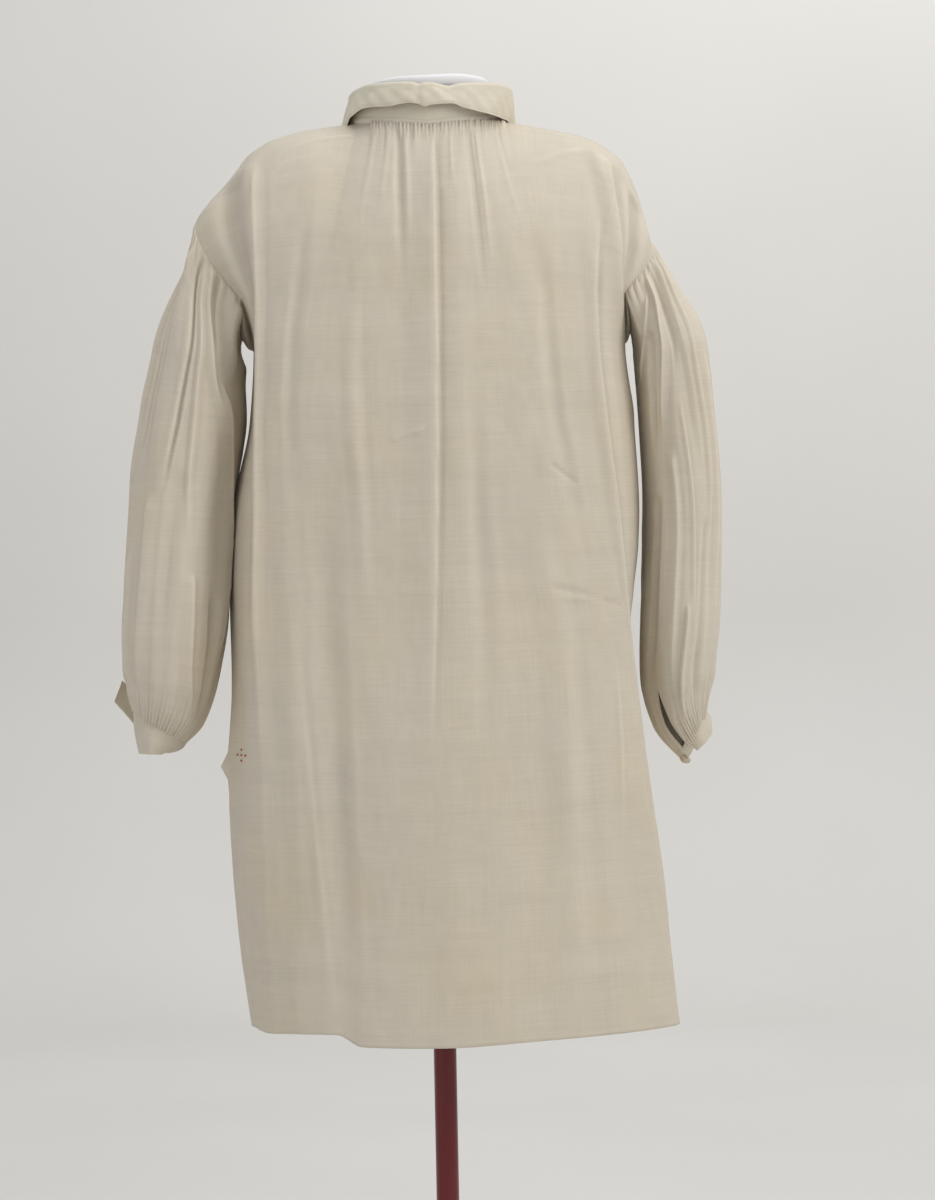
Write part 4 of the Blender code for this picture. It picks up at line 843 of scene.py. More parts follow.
def make_front(hand):
    """One half of the front, from the middle to its side. The halves meet below the slit."""
    rows = np.concatenate([np.linspace(0, 0.06, 34, endpoint=False), np.linspace(0.06, 1, 246)])
    crowd = np.concatenate([np.linspace(0, 0.42, 84, endpoint=False), np.linspace(0.42, 1, 24)])
    u, v = body_grid(rows, crowd, 0)
    u = hand * u
    height = front_relief(u, v)
    normal = body_normal(1, u, v)
    points = body_point(1, u, v) + normal * height[..., None]
    away = 0.0005 + 0.0040 * np.sqrt(np.clip(1 - v * FRONT_LONG / FRONT_SLIT, 0, 1))
    away = np.where(v * FRONT_LONG < FRONT_SLIT, away, 0)
    points[..., 0] += hand * away * np.clip(1 - np.abs(u) / 0.05, 0, 1)
    points[..., 0] += side_swell(u, v)
    points[..., 1] = np.maximum(points[..., 1], 0.0002)
    places = np.stack([u * HALF_CLOTH, v * FRONT_LONG], axis=-1)
    name = "front_linen_" + side_name(hand)
    return hemmed_sheet(name, points, normal, places, height, FRONT_LINEN, (0, 1, 0))


FRONT_LINEN = linen("linen_front", stains=[Stain(-0.06, 0.13, 0.70, 0.05, 0.25)])
front_left = make_front(-1)
front_right = make_front(1)
for half in (front_left, front_right):
    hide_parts("front")
    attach(half, "root")


# Shoulder straps. A narrow strip of doubled linen lies along each shoulder, from the neckband
# to the sleeve. It is felled down along both edges with small stitches.
STITCH_THREAD = (0.62, 0.575, 0.48, 1.0)


def thread_material(name, colour):
    """Waxed linen thread, twisted."""
    material, tree, shader = new_material(name, Roughness=0.7, Sheen_Weight=0.1)
    place = tree.place()
    twist = tree.noise(place, (1800.0, 1800.0, 900.0), 2.0)
    darker = tuple(0.72 * value for value in colour[:3]) + (1.0,)
    tree.put(shader.inputs["Base Color"], tree.mix(twist, darker, colour))
    tree.put(shader.inputs["Normal"], tree.bump(twist, 0.4, 0.0001))
    return material


THREAD = thread_material("thread_linen", STITCH_THREAD)


def even_places(line, pitch):
    """Places along a line of points, one every pitch, as points and directions."""
    steps = np.linalg.norm(np.diff(line, axis=0), axis=1)
    along = np.concatenate([[0], np.cumsum(steps)])
    count = max(int(along[-1] / pitch), 1)
    marks = (np.arange(count) + 0.5) * along[-1] / count
    points = np.stack([np.interp(marks, along, line[:, k]) for k in range(3)], axis=-1)
    ahead = np.stack([np.interp(marks + pitch / 4, along, line[:, k]) for k in range(3)], axis=-1)
    return points, unit(ahead - points + 1e-9)


def stitches(name, lines, pitch, length, width, material, slant=0.0, sink=0.35):
    """Rows of small thread stitches that lie on the cloth. lines holds pairs of a line of
    points and the cloth's normals along it."""
    around = 6
    profile = np.array([(-0.5, 0.25), (-0.36, 0.8), (0.0, 1.0), (0.36, 0.8), (0.5, 0.25)])
    turns = 2 * math.pi * np.arange(around) / around
    blocks = []
    for line, normals in lines:
        middles, runs = even_places(line, pitch)
        share = np.linspace(0, 1, len(line))
        marks = np.linspace(0, 1, len(middles))
        outs = unit(np.stack([np.interp(marks, share, normals[:, k]) for k in range(3)], axis=-1))
        runs = unit(runs + unit(np.cross(outs, runs)) * slant)
        sides = unit(np.cross(outs, runs))
        thick = width / 2 * profile[:, 1, None, None]
        along = (profile[:, 0] * length)[:, None, None]
        aside = thick * np.cos(turns)[None, :, None]
        rise = thick * (np.sin(turns)[None, :, None] + 1 - 2 * sink)
        block = middles[:, None, None] + runs[:, None, None] * along
        blocks.append(block + sides[:, None, None] * aside + outs[:, None, None] * rise)
    points = np.concatenate(blocks)
    index = np.arange(points[..., 0].size).reshape(points.shape[:3])
    after = np.roll(index, -1, axis=2)
    corners = [index[:, :-1], after[:, :-1], after[:, 1:], index[:, 1:]]
    faces = np.stack(corners, axis=-1).reshape(-1, 4)
    points = points.reshape(-1, 3)
    obj = new_mesh(name, points, faces)
    obj.data.materials.append(material)
    return obj


def with_stitches(stitch):
    """Stitches belong to no CAD node of their own: they ride with the cloth they hold."""
    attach(stitch, "root")


def strap_normal(hand, along, across):
    e = 0.004
    length = strap_point(hand, np.minimum(along + e, 1), across)
    length = length - strap_point(hand, np.maximum(along - e, 0), across)
    width = strap_point(hand, along, across + e) - strap_point(hand, along, across - e)
    normal = unit(np.cross(length, width))
    return normal * np.where(normal[..., 2:3] < 0, -1, 1)


def make_strap(hand):
    alongs = np.concatenate([np.linspace(0, 0.2, 24, endpoint=False), np.linspace(0.2, 1, 70)])
    acrosses = np.linspace(-0.972, 0.972, 34)
    along, across = np.meshgrid(alongs, acrosses, indexing="ij")
    normal = strap_normal(hand, along, across)
    edge = np.exp(-(((1 - np.abs(across)) / 0.10) ** 2))
    height = -0.0004 * edge + 0.00025 * np.sin(31 * along + 3 * across) * (1 - edge)
    points = strap_point(hand, along, across) + normal * height[..., None]
    cloth = np.stack([across * 0.03, along * 0.19], axis=-1)
    name = "shoulder_strap_linen_" + side_name(hand)
    strap = sheet_mesh(name, points, cloth, fold_light_and_shade(height, 3), STRAP_LINEN, (0, 0, 1))
    lines = []
    for side in (-0.90, 0.90):
        place = np.linspace(0.02, 0.98, 60)
        out = strap_normal(hand, place, np.full_like(place, side))
        lines.append((strap_point(hand, place, np.full_like(place, side)) + out * 0.0001, out))
    sewn = stitches(name + "_stitches", lines, 0.0030, 0.0015, 0.00042, THREAD)
    return strap, sewn


STRAP_LINEN = linen("linen_strap", (0.645, 0.582, 0.472, 1.0), 0.3)
for hand in (-1, 1):
    strap, sewn = make_strap(hand)
    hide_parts("shoulder_strap_" + side_name(hand))
    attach(strap, "root")
    with_stitches(sewn)


# Sleeves. Each sleeve is a straight length of linen sewn into a wide tube. Its head is
# pleated into the dropped armhole by hand and its foot is gathered into the cuff, with a
# short slit there. In the scene the pieces touch, and a sleeve's head lies just under the
# body's edge.
SLEEVE_SEAM = -0.0010
HEAD_UNDER = 0.0002
# Rings of the sleeves: x is the distance from the middle, tilt raises the outer side.
Ring = namedtuple("Ring", "along x y z half_width half_depth tilt")
LEFT_RINGS = [
    Ring(0.00, 0.2310, 0.000, 1.3060, 0.060, 0.062, 62),
    Ring(0.10, 0.2430, 0.000, 1.2580, 0.050, 0.072, 45),
    Ring(0.20, 0.2520, 0.000, 1.2080, 0.050, 0.080, 18),
    Ring(0.34, 0.2610, 0.000, 1.1440, 0.0560, 0.083, 8),
    Ring(0.52, 0.2770, 0.000, 1.0540, 0.0580, 0.085, 4),
    Ring(0.76, 0.2878, -0.002, 0.9250, 0.0585, 0.082, 4),
    Ring(0.88, 0.2945, -0.003, 0.8640, 0.0535, 0.072, 12),
    Ring(0.95, 0.3000, -0.004, 0.8300, 0.0450, 0.056, 25),
    Ring(1.00, 0.3062, -0.004, 0.8090, 0.0330, 0.036, 33),
]
RIGHT_RINGS = [
    Ring(0.00, 0.2360, 0.000, 1.2900, 0.045, 0.062, 70),
    Ring(0.10, 0.2520, 0.000, 1.2480, 0.042, 0.072, 45),
    Ring(0.20, 0.2640, 0.000, 1.2050, 0.042, 0.078, 16),
    Ring(0.34, 0.2685, 0.000, 1.1320, 0.0420, 0.080, 4),
    Ring(0.52, 0.2730, 0.002, 1.0440, 0.0430, 0.082, 0),
    Ring(0.76, 0.2680, 0.004, 0.9130, 0.0440, 0.080, 0),
    Ring(0.88, 0.2650, 0.006, 0.8550, 0.0430, 0.070, 12),
    Ring(0.95, 0.2690, 0.010, 0.8180, 0.0380, 0.054, 34),
    Ring(1.00, 0.2800, 0.016, 0.7880, 0.0280, 0.034, 60),
]
GUSSET_SLEEVE_Z = 1.231
GUSSET_SLEEVE_X = {-1: 0.2085, 1: 0.2200}
HEAD_BLEND = 0.20
SLIT_AT = {-1: 0.50, 1: 0.14}
SLIT_FROM = 0.90
SLIT_SPAN = 1.06 - SLIT_FROM
SLIT_HALF = 0.018

# A run is a fold through places down a sleeve: a part of the way round it from its inner
# side by the back, and a part of the way down. inner and outer are how far it reaches.
Run = namedtuple("Run", "places inner outer height crisp")
LEFT_RUNS = [
    Run(((0.335, 0.02), (0.455, 0.150), (0.450, 0.28), (0.440, 0.55)), 0.030, 0.055, 0.0055, 0.2),
    Run(((0.298, 0.02), (0.410, 0.152), (0.402, 0.212), (0.408, 0.46)), 0.014, 0.010, -0.0045, 0.3),
    Run(((0.275, 0.00), (0.350, 0.120), (0.350, 0.20), (0.345, 0.50)), 0.045, 0.030, 0.0048, 0.2),
    Run(((0.230, 0.00), (0.254, 0.052), (0.268, 0.113), (0.290, 0.52)), 0.012, 0.012, -0.0050, 0.3),
    Run(((0.214, 0.00), (0.228, 0.052), (0.238, 0.120), (0.235, 0.30), (0.20, 0.62)),
        0.022, 0.016, 0.0042, 0.6),
    Run(((0.196, 0.00), (0.200, 0.050), (0.203, 0.100), (0.197, 0.168), (0.15, 0.32)),
        0.010, 0.030, 0.0058, 0.9),
    Run(((0.180, 0.00), (0.184, 0.043), (0.186, 0.095), (0.178, 0.20)), 0.010, 0.008, -0.0030, 0.4),
    Run(((0.110, 0.01), (0.110, 0.100), (0.105, 0.25)), 0.040, 0.050, 0.0035, 0.1),
    Run(((0.150, 0.24), (0.072, 0.473), (0.048, 0.635), (0.056, 0.797), (0.048, 0.93)),
        0.010, 0.050, 0.0062, 0.9),
    Run(((0.240, 0.45), (0.260, 0.700), (0.250, 0.98)), 0.050, 0.040, -0.0040, 0.1),
    Run(((0.330, 0.50), (0.340, 0.750), (0.335, 0.97)), 0.040, 0.022, 0.0040, 0.5),
    Run(((0.182, 0.66), (0.168, 0.848), (0.118, 0.96)), 0.012, 0.040, 0.0040, 0.8),
    Run(((0.110, 0.70), (0.100, 0.850), (0.085, 0.97)), 0.030, 0.020, -0.0038, 0.2),
    Run(((0.410, 0.62), (0.400, 0.850), (0.380, 0.97)), 0.030, 0.030, 0.0035, 0.3),
    Run(((0.620, 0.02), (0.610, 0.30), (0.630, 0.62)), 0.030, 0.022, 0.0050, 0.5),
    Run(((0.740, 0.02), (0.760, 0.30), (0.730, 0.72)), 0.022, 0.030, 0.0050, 0.5),
    Run(((0.690, 0.58), (0.700, 0.80), (0.710, 0.98)), 0.025, 0.025, -0.0045, 0.2),
    Run(((0.830, 0.50), (0.820, 0.80), (0.800, 0.98)), 0.025, 0.025, -0.0040, 0.2),
]
RIGHT_RUNS = [
    Run(((0.345, 0.01), (0.325, 0.100), (0.325, 0.20), (0.36, 0.40), (0.36, 0.62)),
        0.016, 0.030, 0.0042, 0.6),
    Run(((0.306, 0.00), (0.288, 0.088), (0.282, 0.163), (0.300, 0.268), (0.335, 0.48)),
        0.026, 0.008, 0.0058, 0.9),
    Run(((0.222, 0.01), (0.226, 0.070), (0.210, 0.143), (0.190, 0.238), (0.160, 0.40)),
        0.012, 0.030, 0.0060, 0.9),
    Run(((0.202, 0.05), (0.130, 0.152), (0.045, 0.27)), 0.020, 0.014, 0.0040, 0.9),
    Run(((0.256, 0.01), (0.250, 0.090), (0.240, 0.25)), 0.014, 0.020, -0.0028, 0.2),
    Run(((0.170, 0.12), (0.140, 0.240), (0.130, 0.42)), 0.020, 0.020, -0.0034, 0.2),
    Run(((0.250, 0.30), (0.270, 0.500), (0.290, 0.80)), 0.018, 0.012, 0.0026, 0.9),
    Run(((0.385, 0.20), (0.400, 0.450), (0.390, 0.85)), 0.028, 0.020, 0.0040, 0.6),
    Run(((0.200, 0.40), (0.215, 0.600), (0.205, 0.92)), 0.040, 0.020, 0.0042, 0.6),
    Run(((0.130, 0.50), (0.120, 0.700), (0.110, 0.90)), 0.030, 0.030, -0.0036, 0.1),
    Run(((0.335, 0.55), (0.320, 0.750), (0.300, 0.97)), 0.024, 0.024, -0.0036, 0.1),
    Run(((0.262, 0.72), (0.250, 0.860), (0.230, 0.98)), 0.014, 0.026, 0.0040, 0.7),
    Run(((0.620, 0.02), (0.610, 0.30), (0.630, 0.62)), 0.030, 0.022, 0.0050, 0.5),
    Run(((0.740, 0.02), (0.760, 0.30), (0.730, 0.72)), 0.022, 0.030, 0.0050, 0.5),
    Run(((0.700, 0.58), (0.700, 0.80), (0.710, 0.98)), 0.025, 0.025, -0.0045, 0.2),
    Run(((0.560, 0.52), (0.560, 0.80), (0.540, 0.98)), 0.025, 0.025, -0.0040, 0.2),
]
SLEEVE_WIDE = 0.46
SLEEVE_LONG = 0.56
HEAD_GATHERS = 26
WRIST_FOLDS = 60


def edge_v(z):
    """The place down the body's edge that lies at height z, below the underarm."""
    return YOKE_PART + (1 - YOKE_PART) * (UNDERARM_Z - z) / (UNDERARM_Z - HEM_Z)


def armhole_point(hand, t):
    """The armhole loop: t 0 at the inner side, then the back, the top, the front."""
    t = np.asarray(t, float)
    back = body_point(-1, np.full_like(t, hand), YOKE_PART * np.clip((0.46 - t) / 0.34, 0, 1))
    front = body_point(1, np.full_like(t, hand), YOKE_PART * np.clip((t - 0.54) / 0.34, 0, 1))
    strap = strap_point(hand, np.ones_like(t), np.clip((t - 0.5) / 0.04, -1, 1))
    low = np.minimum(t, 1 - t) / 0.12
    turn = np.clip(low, 0, 1)
    edge = np.full_like(t, float(hand))
    end = np.full_like(t, YOKE_PART)
    near = np.where((t < 0.5)[..., None], body_point(-1, edge, end), body_point(1, edge, end))
    deep = near.copy()
    deep[..., 0] = hand * GUSSET_SLEEVE_X[hand] + (near[..., 0] - hand * GUSSET_SLEEVE_X[hand]) * turn**2
    deep[..., 1] = near[..., 1] * turn
    deep[..., 2] = GUSSET_SLEEVE_Z + (near[..., 2] - GUSSET_SLEEVE_Z) * turn**1.6
    result = np.where((t < 0.5)[..., None], back, front)
    result = np.where((np.abs(t - 0.5) < 0.04)[..., None], strap, result)
    return np.where((low < 1)[..., None], deep, result)


def ring_point(hand, t, q):
    """The sleeve's rings: t round from the inner side by the back, q down from 0 to 1."""
    rows = LEFT_RINGS if hand < 0 else RIGHT_RINGS
    return oval_point(hand, t, Ring(q, *[read(rows, "along", name, q) for name in Ring._fields[1:]]))


def oval_point(hand, t, ring):
    """A point round one tilted oval ring."""
    angle = 2 * math.pi * t
    tilt = np.radians(ring.tilt)
    inward = ring.half_width * np.cos(angle)
    x = hand * (ring.x - inward * np.cos(tilt))
    y = ring.y - ring.half_depth * np.sin(angle)
    return np.stack([x, y, ring.z - inward * np.sin(tilt)], axis=-1)


def armhole_normal(hand, t):
    """The outward normal of the cloth that the sleeve is sewn to."""
    edge = np.full_like(t, float(hand))
    back = body_normal(-1, edge, YOKE_PART * np.clip((0.46 - t) / 0.34, 0.02, 0.98))
    front = body_normal(1, edge, YOKE_PART * np.clip((t - 0.54) / 0.34, 0.02, 0.98))
    strap = strap_normal(hand, np.full_like(t, 0.99), np.clip((t - 0.5) / 0.04, -1, 1))
    normal = np.where((t < 0.5)[..., None], back, front)
    return np.where((np.abs(t - 0.5) < 0.04)[..., None], strap, normal)


HEAD_SHIFTS = {}


def head_shift(hand, t):
    """How far the armhole lies from the sleeve's first ring. It is worked out once."""
    if hand not in HEAD_SHIFTS:
        turns = np.linspace(0, 1, 1441)
        loop = armhole_point(hand, turns)
        away = ring_point(hand, turns, np.full_like(turns, 0.16)) - loop
        facing = armhole_normal(hand, turns)
        away = unit(away - facing * np.sum(away * facing, axis=-1, keepdims=True))
        head = loop + away * SLEEVE_SEAM - facing * HEAD_UNDER
        HEAD_SHIFTS[hand] = (turns, head - ring_point(hand, turns, np.zeros_like(turns)))
    turns, shift = HEAD_SHIFTS[hand]
    return np.stack([np.interp(t, turns, shift[:, k]) for k in range(3)], axis=-1)


def sleeve_point(hand, t, q):
    t, q = np.broadcast_arrays(np.asarray(t, float) % 1.0, np.asarray(q, float))
    return ring_point(hand, t, q) + head_shift(hand, t) * (1 - ease(q / HEAD_BLEND))[..., None]


def sleeve_normal(hand, t, q):
    e = 0.003
    around = sleeve_point(hand, t + e, q) - sleeve_point(hand, t - e, q)
    down = sleeve_point(hand, t, np.minimum(q + e, 1)) - sleeve_point(hand, t, np.maximum(q - e, 0))
    return unit(np.cross(down, around)) * hand


def run_height(runs, around, down):
    """The height of all the runs out of the smooth sleeve."""
    height = np.zeros_like(around)
    for run in runs:
        at = np.array([place[0] for place in run.places])
        low = np.array([place[1] for place in run.places])
        line = curve(low, at, down)
        away = (around - line + 0.5) % 1.0 - 0.5
        part = (down - low[0]) / (low[-1] - low[0])
        inside = (part >= 0) & (part <= 1)
        fade = ease(part / 0.10) * ease((1 - part) / 0.30)
        shape = fold_profile(away, run.inner, run.outer, run.crisp)
        height = height + np.where(inside, run.height * fade * shape, 0)
    return height


def sleeve_relief(hand, t, q):
    """All that lifts a sleeve's linen off its smooth shape."""
    height = run_height(LEFT_RUNS if hand < 0 else RIGHT_RUNS, t, q)
    seed = 40 + hand
    height = height + gather_height(t, q, 0.13, 0.87, HEAD_GATHERS, 0.0021, 0.085, seed)
    height = height + gather_height(t, q, 0.13, 0.87, 2 * HEAD_GATHERS + 3, 0.0009, 0.035, seed + 2)
    height = height + gather_height(t, 1 - q, 0, 1, WRIST_FOLDS, 0.0019, 0.105, seed + 4)
    height = height + gather_height(t, 1 - q, 0, 1, WRIST_FOLDS // 3, 0.0011, 0.24, seed + 6)
    roll = np.sin(14 * math.pi * t + 2.0 * np.sin(5 * q) + hand) + 0.6 * np.sin(22 * math.pi * t - 4 * q)
    height = height + 0.0007 * roll * ease(q / 0.1) * ease((1 - q) / 0.1)
    ends = ease(q / 0.05) * ease((1 - q) / 0.05)
    height = height + uneven(t * SLEEVE_WIDE, q * SLEEVE_LONG, seed) * ends
    return height * ease((q + 0.003) / 0.016)


def make_sleeve(hand):
    rows = np.concatenate([
        np.linspace(0, 0.12, 50, endpoint=False),
        np.linspace(0.12, 0.88, 130, endpoint=False),
        np.linspace(0.88, 1, 50),
    ])
    columns = np.linspace(0, 1, 321)
    opening = SLIT_HALF * np.sin(math.pi * np.clip((rows - SLIT_FROM) / SLIT_SPAN, 0, 1))
    opening = np.where(rows >= SLIT_FROM, np.maximum(opening, 0.0004), 0)[:, None]
    t = (SLIT_AT[hand] + opening + columns[None, :] * (1 - 2 * opening)) % 1.0
    q = np.broadcast_to(rows[:, None], t.shape)
    height = sleeve_relief(hand, t, q)
    close = np.minimum(columns, 1 - columns)[None, :] * (q > SLIT_FROM) / 0.012
    height = np.where(q > SLIT_FROM, height * ease(close), height)
    points = sleeve_point(hand, t, q) + sleeve_normal(hand, t, q) * height[..., None]
    cloth = np.stack([np.broadcast_to(columns * SLEEVE_WIDE, t.shape), q * SLEEVE_LONG], axis=-1)
    name = "sleeve_linen_" + side_name(hand)
    outward = (0, -1 if SLIT_AT[hand] > 0.3 else 1, 0)
    return sheet_mesh(name, points, cloth, fold_light_and_shade(height, 7), SLEEVE_LINEN, outward)


SLEEVE_STAINS = [Stain(0.262, -0.03, 0.845, 0.028, 0.3), Stain(-0.255, -0.05, 0.88, 0.030, 0.25)]
SLEEVE_LINEN = linen("linen_sleeve", stains=SLEEVE_STAINS)
for hand in (-1, 1):
    sleeve = make_sleeve(hand)
    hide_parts("sleeve_" + side_name(hand))
    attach(sleeve, "root")


# Underarm gussets. A square of linen is folded across and let in between the sleeve and the
# body's side, so that the straight pieces don't tear when an arm is raised. Its seams are
# felled.
def make_gusset(hand):
    places = np.linspace(-0.985, 0.985, 61)
    acrosses = np.linspace(-0.01, 1.01, 41)
    rows = []
    for place in places:
        face = -1 if place < 0 else 1
        fall = 1 - abs(place)
        foot = edge_v(UNDERARM_Z - (UNDERARM_Z - GUSSET_FOOT_Z) * fall)
        body = body_point(face, np.array([float(hand)]), np.array([foot]))[0]
        sleeve = armhole_point(hand, np.array([0.12 * abs(place) if place < 0 else 1 - 0.12 * place]))[0]
        sag = np.sin(np.pi * np.clip(acrosses, 0, 1)) * 0.0025 * fall
        rib = sleeve + (body - sleeve) * acrosses[:, None]
        rib[:, 2] += 0.0003 - sag + 0.0005 * np.sin(9 * acrosses + 7 * place) * fall
        puff = np.sin(np.pi * np.clip(acrosses, 0, 1)) * np.sin(np.pi * abs(place)) ** 0.7
        rib[:, 1] += face * 0.011 * puff
        rows.append(rib)
    points = np.array(rows)
    across, place = np.meshgrid(acrosses, places)
    cloth = np.stack([across * 0.05, place * 0.07], axis=-1)
    name = "gusset_linen_" + side_name(hand)
    return sheet_mesh(name, points, cloth, np.zeros(across.shape), GUSSET_LINEN_LIGHTENED, (0, 0, -1))


GUSSET_FOOT_Z = 1.216
# The gusset linen is painted lighter than the body's to offset the shade under the arms; the vent gussets
# use it too.
GUSSET_LINEN_LIGHTENED = linen("linen_gusset_lightened", (0.650, 0.590, 0.480, 1.0), 0.3)
for hand in (-1, 1):
    gusset = make_gusset(hand)
    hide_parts("gusset_" + side_name(hand))
    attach(gusset, "root")


# Cuffs. Each cuff is a straight band of double linen, folded at its foot. The sleeve's
# gathers are stroked into its top one by one, and small stitches hold them. It has a worked
# buttonhole at its front end, and on the left that end stands away from the wrist.
DOUBLED = 0.0016
CUFF_GAP = 0.045
# The cuff's rows start this far above its top, under the sleeve's foot.
CUFF_TUCK = 0.04
CUFF_ROWS = 30
CUFF_CLOTH = (0.21, 0.032)
CUFF_FOOT = {
    -1: Ring(1.00, 0.3125, -0.004, 0.7800, 0.0155, 0.040, 0),
    1: Ring(1.00, 0.2880, 0.030, 0.7730, 0.0206, 0.036, 51),
}
TAB_TO = 0.22
# How far the standing end of each cuff lies out and up, at the cuff's top and at its foot.
TabEnd = namedtuple("TabEnd", "top_out foot_out top_up foot_up")
TAB_ENDS = {-1: TabEnd(0.022, 0.043, 0.024, 0.040), 1: TabEnd(0.0, 0.004, 0.0, 0.006)}
CUFF_BELLY = 0.0030


def cuff_point(hand, places, down):
    """A cuff's outer face, from its front end round to its back end. down is 0 at the sleeve."""
    t = (SLIT_AT[hand] + places) % 1.0
    top = ring_point(hand, t, np.ones_like(places))
    foot = oval_point(hand, t, CUFF_FOOT[hand])
    centre = ring_point(hand, np.linspace(0.0, 1.0, 29), np.ones(29)).mean(axis=0)
    outward = unit(top - centre)
    tab = TAB_ENDS[hand]
    away = ease(1 - places / TAB_TO)[:, None]
    out = (tab.top_out + (tab.foot_out - tab.top_out) * down) * away
    out = out + CUFF_BELLY * math.sin(math.pi * min(max(down, 0), 1)) * (1 - away)
    lift = (tab.top_up + (tab.foot_up - tab.top_up) * down) * away
    return top + (foot - top) * down + outward * out + np.array([0.0, 0.0, 1.0]) * lift


def cuff_normal(hand, places, down):
    e = 0.01
    around = cuff_point(hand, places + e, down) - cuff_point(hand, places - e, down)
    along = cuff_point(hand, places, min(down + e, 1.0)) - cuff_point(hand, places, max(down - e, 0.0))
    return unit(np.cross(along, around)) * -hand


def folded_sheet(name, outer, inner, cloth_size, material, outward, ends=0.12):
    """A band of double cloth: rows down its outer face, round the fold and up its inner one.
    outer and inner are rows of points, top row first. Its short ends are closed."""
    count = outer.shape[1]
    share = np.linspace(0, 1, count)
    near = np.clip(np.minimum(share, 1 - share) * (count - 1) / 4, 0, 1) ** 0.5
    inner = outer + (inner - outer) * (ends + (1 - ends) * near)[None, :, None]
    down = unit(outer[-1] - outer[-2])
    thick = np.linalg.norm(inner[-1] - outer[-1], axis=-1, keepdims=True)
    turn = []
    for angle in np.radians([45, 90, 135]):
        across = (1 - math.cos(angle)) / 2
        turn.append(outer[-1] + (inner[-1] - outer[-1]) * across + down * thick / 2 * math.sin(angle))
    points = np.concatenate([outer, np.array(turn), inner[::-1]])
    rows = len(points)
    width, length = cloth_size
    cloth = np.stack(np.meshgrid(share * width, np.linspace(0, 2 * length, rows)), axis=-1)
    # Painted highlight: the crease value lightens the colour along the rolled fold at the band's foot.
    crease = np.zeros((rows, count))
    edge = len(outer) + 1
    for row in range(rows):
        crease[row] = 0.8 * math.exp(-(((row - edge) / 2.2) ** 2))
    return sheet_mesh(name, points, cloth, crease, material, outward)


def cuff_relief(hand, places, down):
    """Soft waves of the cuff, softened by long use, and the pull of the gathers along its top."""
    wave = 0.0006 * np.sin(23 * places + hand + 2 * down) + 0.0004 * np.sin(51 * places - 3 * down)
    pull = 0.00035 * np.sin(2 * math.pi * WRIST_FOLDS * 0.9 * places) * math.exp(-down / 0.10)
    return wave * min(down * 5, 1) + pull


def make_cuff(hand):
    places = np.linspace(CUFF_GAP, 1 - CUFF_GAP, 240)
    downs = np.linspace(-CUFF_TUCK, 1.0, CUFF_ROWS)
    outer = []
    inner = []
    for down in downs:
        normal = cuff_normal(hand, places, max(float(down), 0.0))
        relief = cuff_relief(hand, places, float(down))[:, None]
        row = cuff_point(hand, places, float(down)) + normal * relief
        outer.append(row)
        inner.append(row - normal * DOUBLED)
    outer = np.array(outer)
    name = "cuff_linen_" + side_name(hand)
    cuff = folded_sheet(name, outer, np.array(inner), CUFF_CLOTH, CUFF_LINEN[hand], (0, -1, 0))
    lines = []
    for down in (0.05, 0.90):
        row = outer[round((down + CUFF_TUCK) / (1 + CUFF_TUCK) * (CUFF_ROWS - 1))]
        lines.append((row, cuff_normal(hand, places, down)))
    top = stitches(name + "_strokes", lines[:1], 0.0021, 0.0016, 0.00045, THREAD, slant=1.2)
    foot = stitches(name + "_foot_stitches", lines[1:], 0.0024, 0.0013, 0.00035, THREAD)
    return cuff, top, foot


CUFF_LINEN = {
    -1: linen("linen_cuff_left", (0.620, 0.560, 0.455, 1.0), 0.5),
    1: linen("linen_cuff_right", (0.650, 0.585, 0.455, 1.0), 0.9, [Stain(0.262, 0.0, 0.775, 0.030, 0.5)]),
}
for hand in (-1, 1):
    cuff, top, foot = make_cuff(hand)
    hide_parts("cuff_" + side_name(hand))
    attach(cuff, "root")
    with_stitches(top)
    with_stitches(foot)


# Neckband. A narrow double band holds the gathers all round the neck. A row of fine
# backstitches runs along its top, where the collar is sewn in.
NECKBAND_HEIGHT = 0.0062
COLLAR_HALF_GAP = math.radians(9)


def band_angles(count):
    """Places round the neck from the front's left end, by the back, to its right end."""
    return np.linspace(-math.pi + COLLAR_HALF_GAP, math.pi - COLLAR_HALF_GAP, count)


def place_line(point, radial, line):
    up = np.array([0.0, 0.0, 1.0])
    return point + radial * line[:, 0:1] + up * line[:, 1:2]


def neck_frame(count):
    """Places round the neck: angles, points on the neck seam and the way out from each."""
    angles = band_angles(count)
    point = neck_point(angles)
    return angles, point, unit((point - np.array([0.0, NECK_Y, 0.0])) * np.array([1, 1, 0]))


def make_neckband():
    angles, point, radial = neck_frame(420)
    outer = []
    inner = []
    for part in np.linspace(1.0, -0.06, 12):
        swell = 0.0005 * math.sin(math.pi * min(max(part, 0), 1)) + 0.00025
        out = swell + 0.00022 * np.sin(97 * angles) * (1 - part) + 0.00012 * np.sin(31 * angles)
        row = point + radial * out[:, None] + np.array([0, 0, NECKBAND_HEIGHT * part])
        outer.append(row)
        inner.append(row - radial * DOUBLED)
    outer = np.array(outer)
    band = folded_sheet("neckband_linen", outer, np.array(inner), (0.45, 0.0066), NECK_LINEN_LIGHTENED, (0, -1, 0))
    top = stitches("neckband_stitches", [(outer[1], radial)], 0.0021, 0.0013, 0.00050, THREAD, sink=0.2)
    low = stitches("neck_seam_stitches", [(outer[-2], radial)], 0.0029, 0.0008, 0.00045, THREAD, sink=0.2)
    return band, top, low


# The neckband's linen is painted lighter than the body's to offset the shade under the collar's fall.
NECK_LINEN_LIGHTENED = linen("linen_neck_lightened", (0.680, 0.625, 0.515, 1.0), 0.35)
band, top, low = make_neckband()
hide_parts("neckband")
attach(band, "root")
with_stitches(top)
with_stitches(low)


# Collar. The turned-down collar is double linen. It stands up from the neckband, rolls over
# and falls outward to a wavy edge that rides up at the back of the neck.
COLLAR_TURN = 0.0032
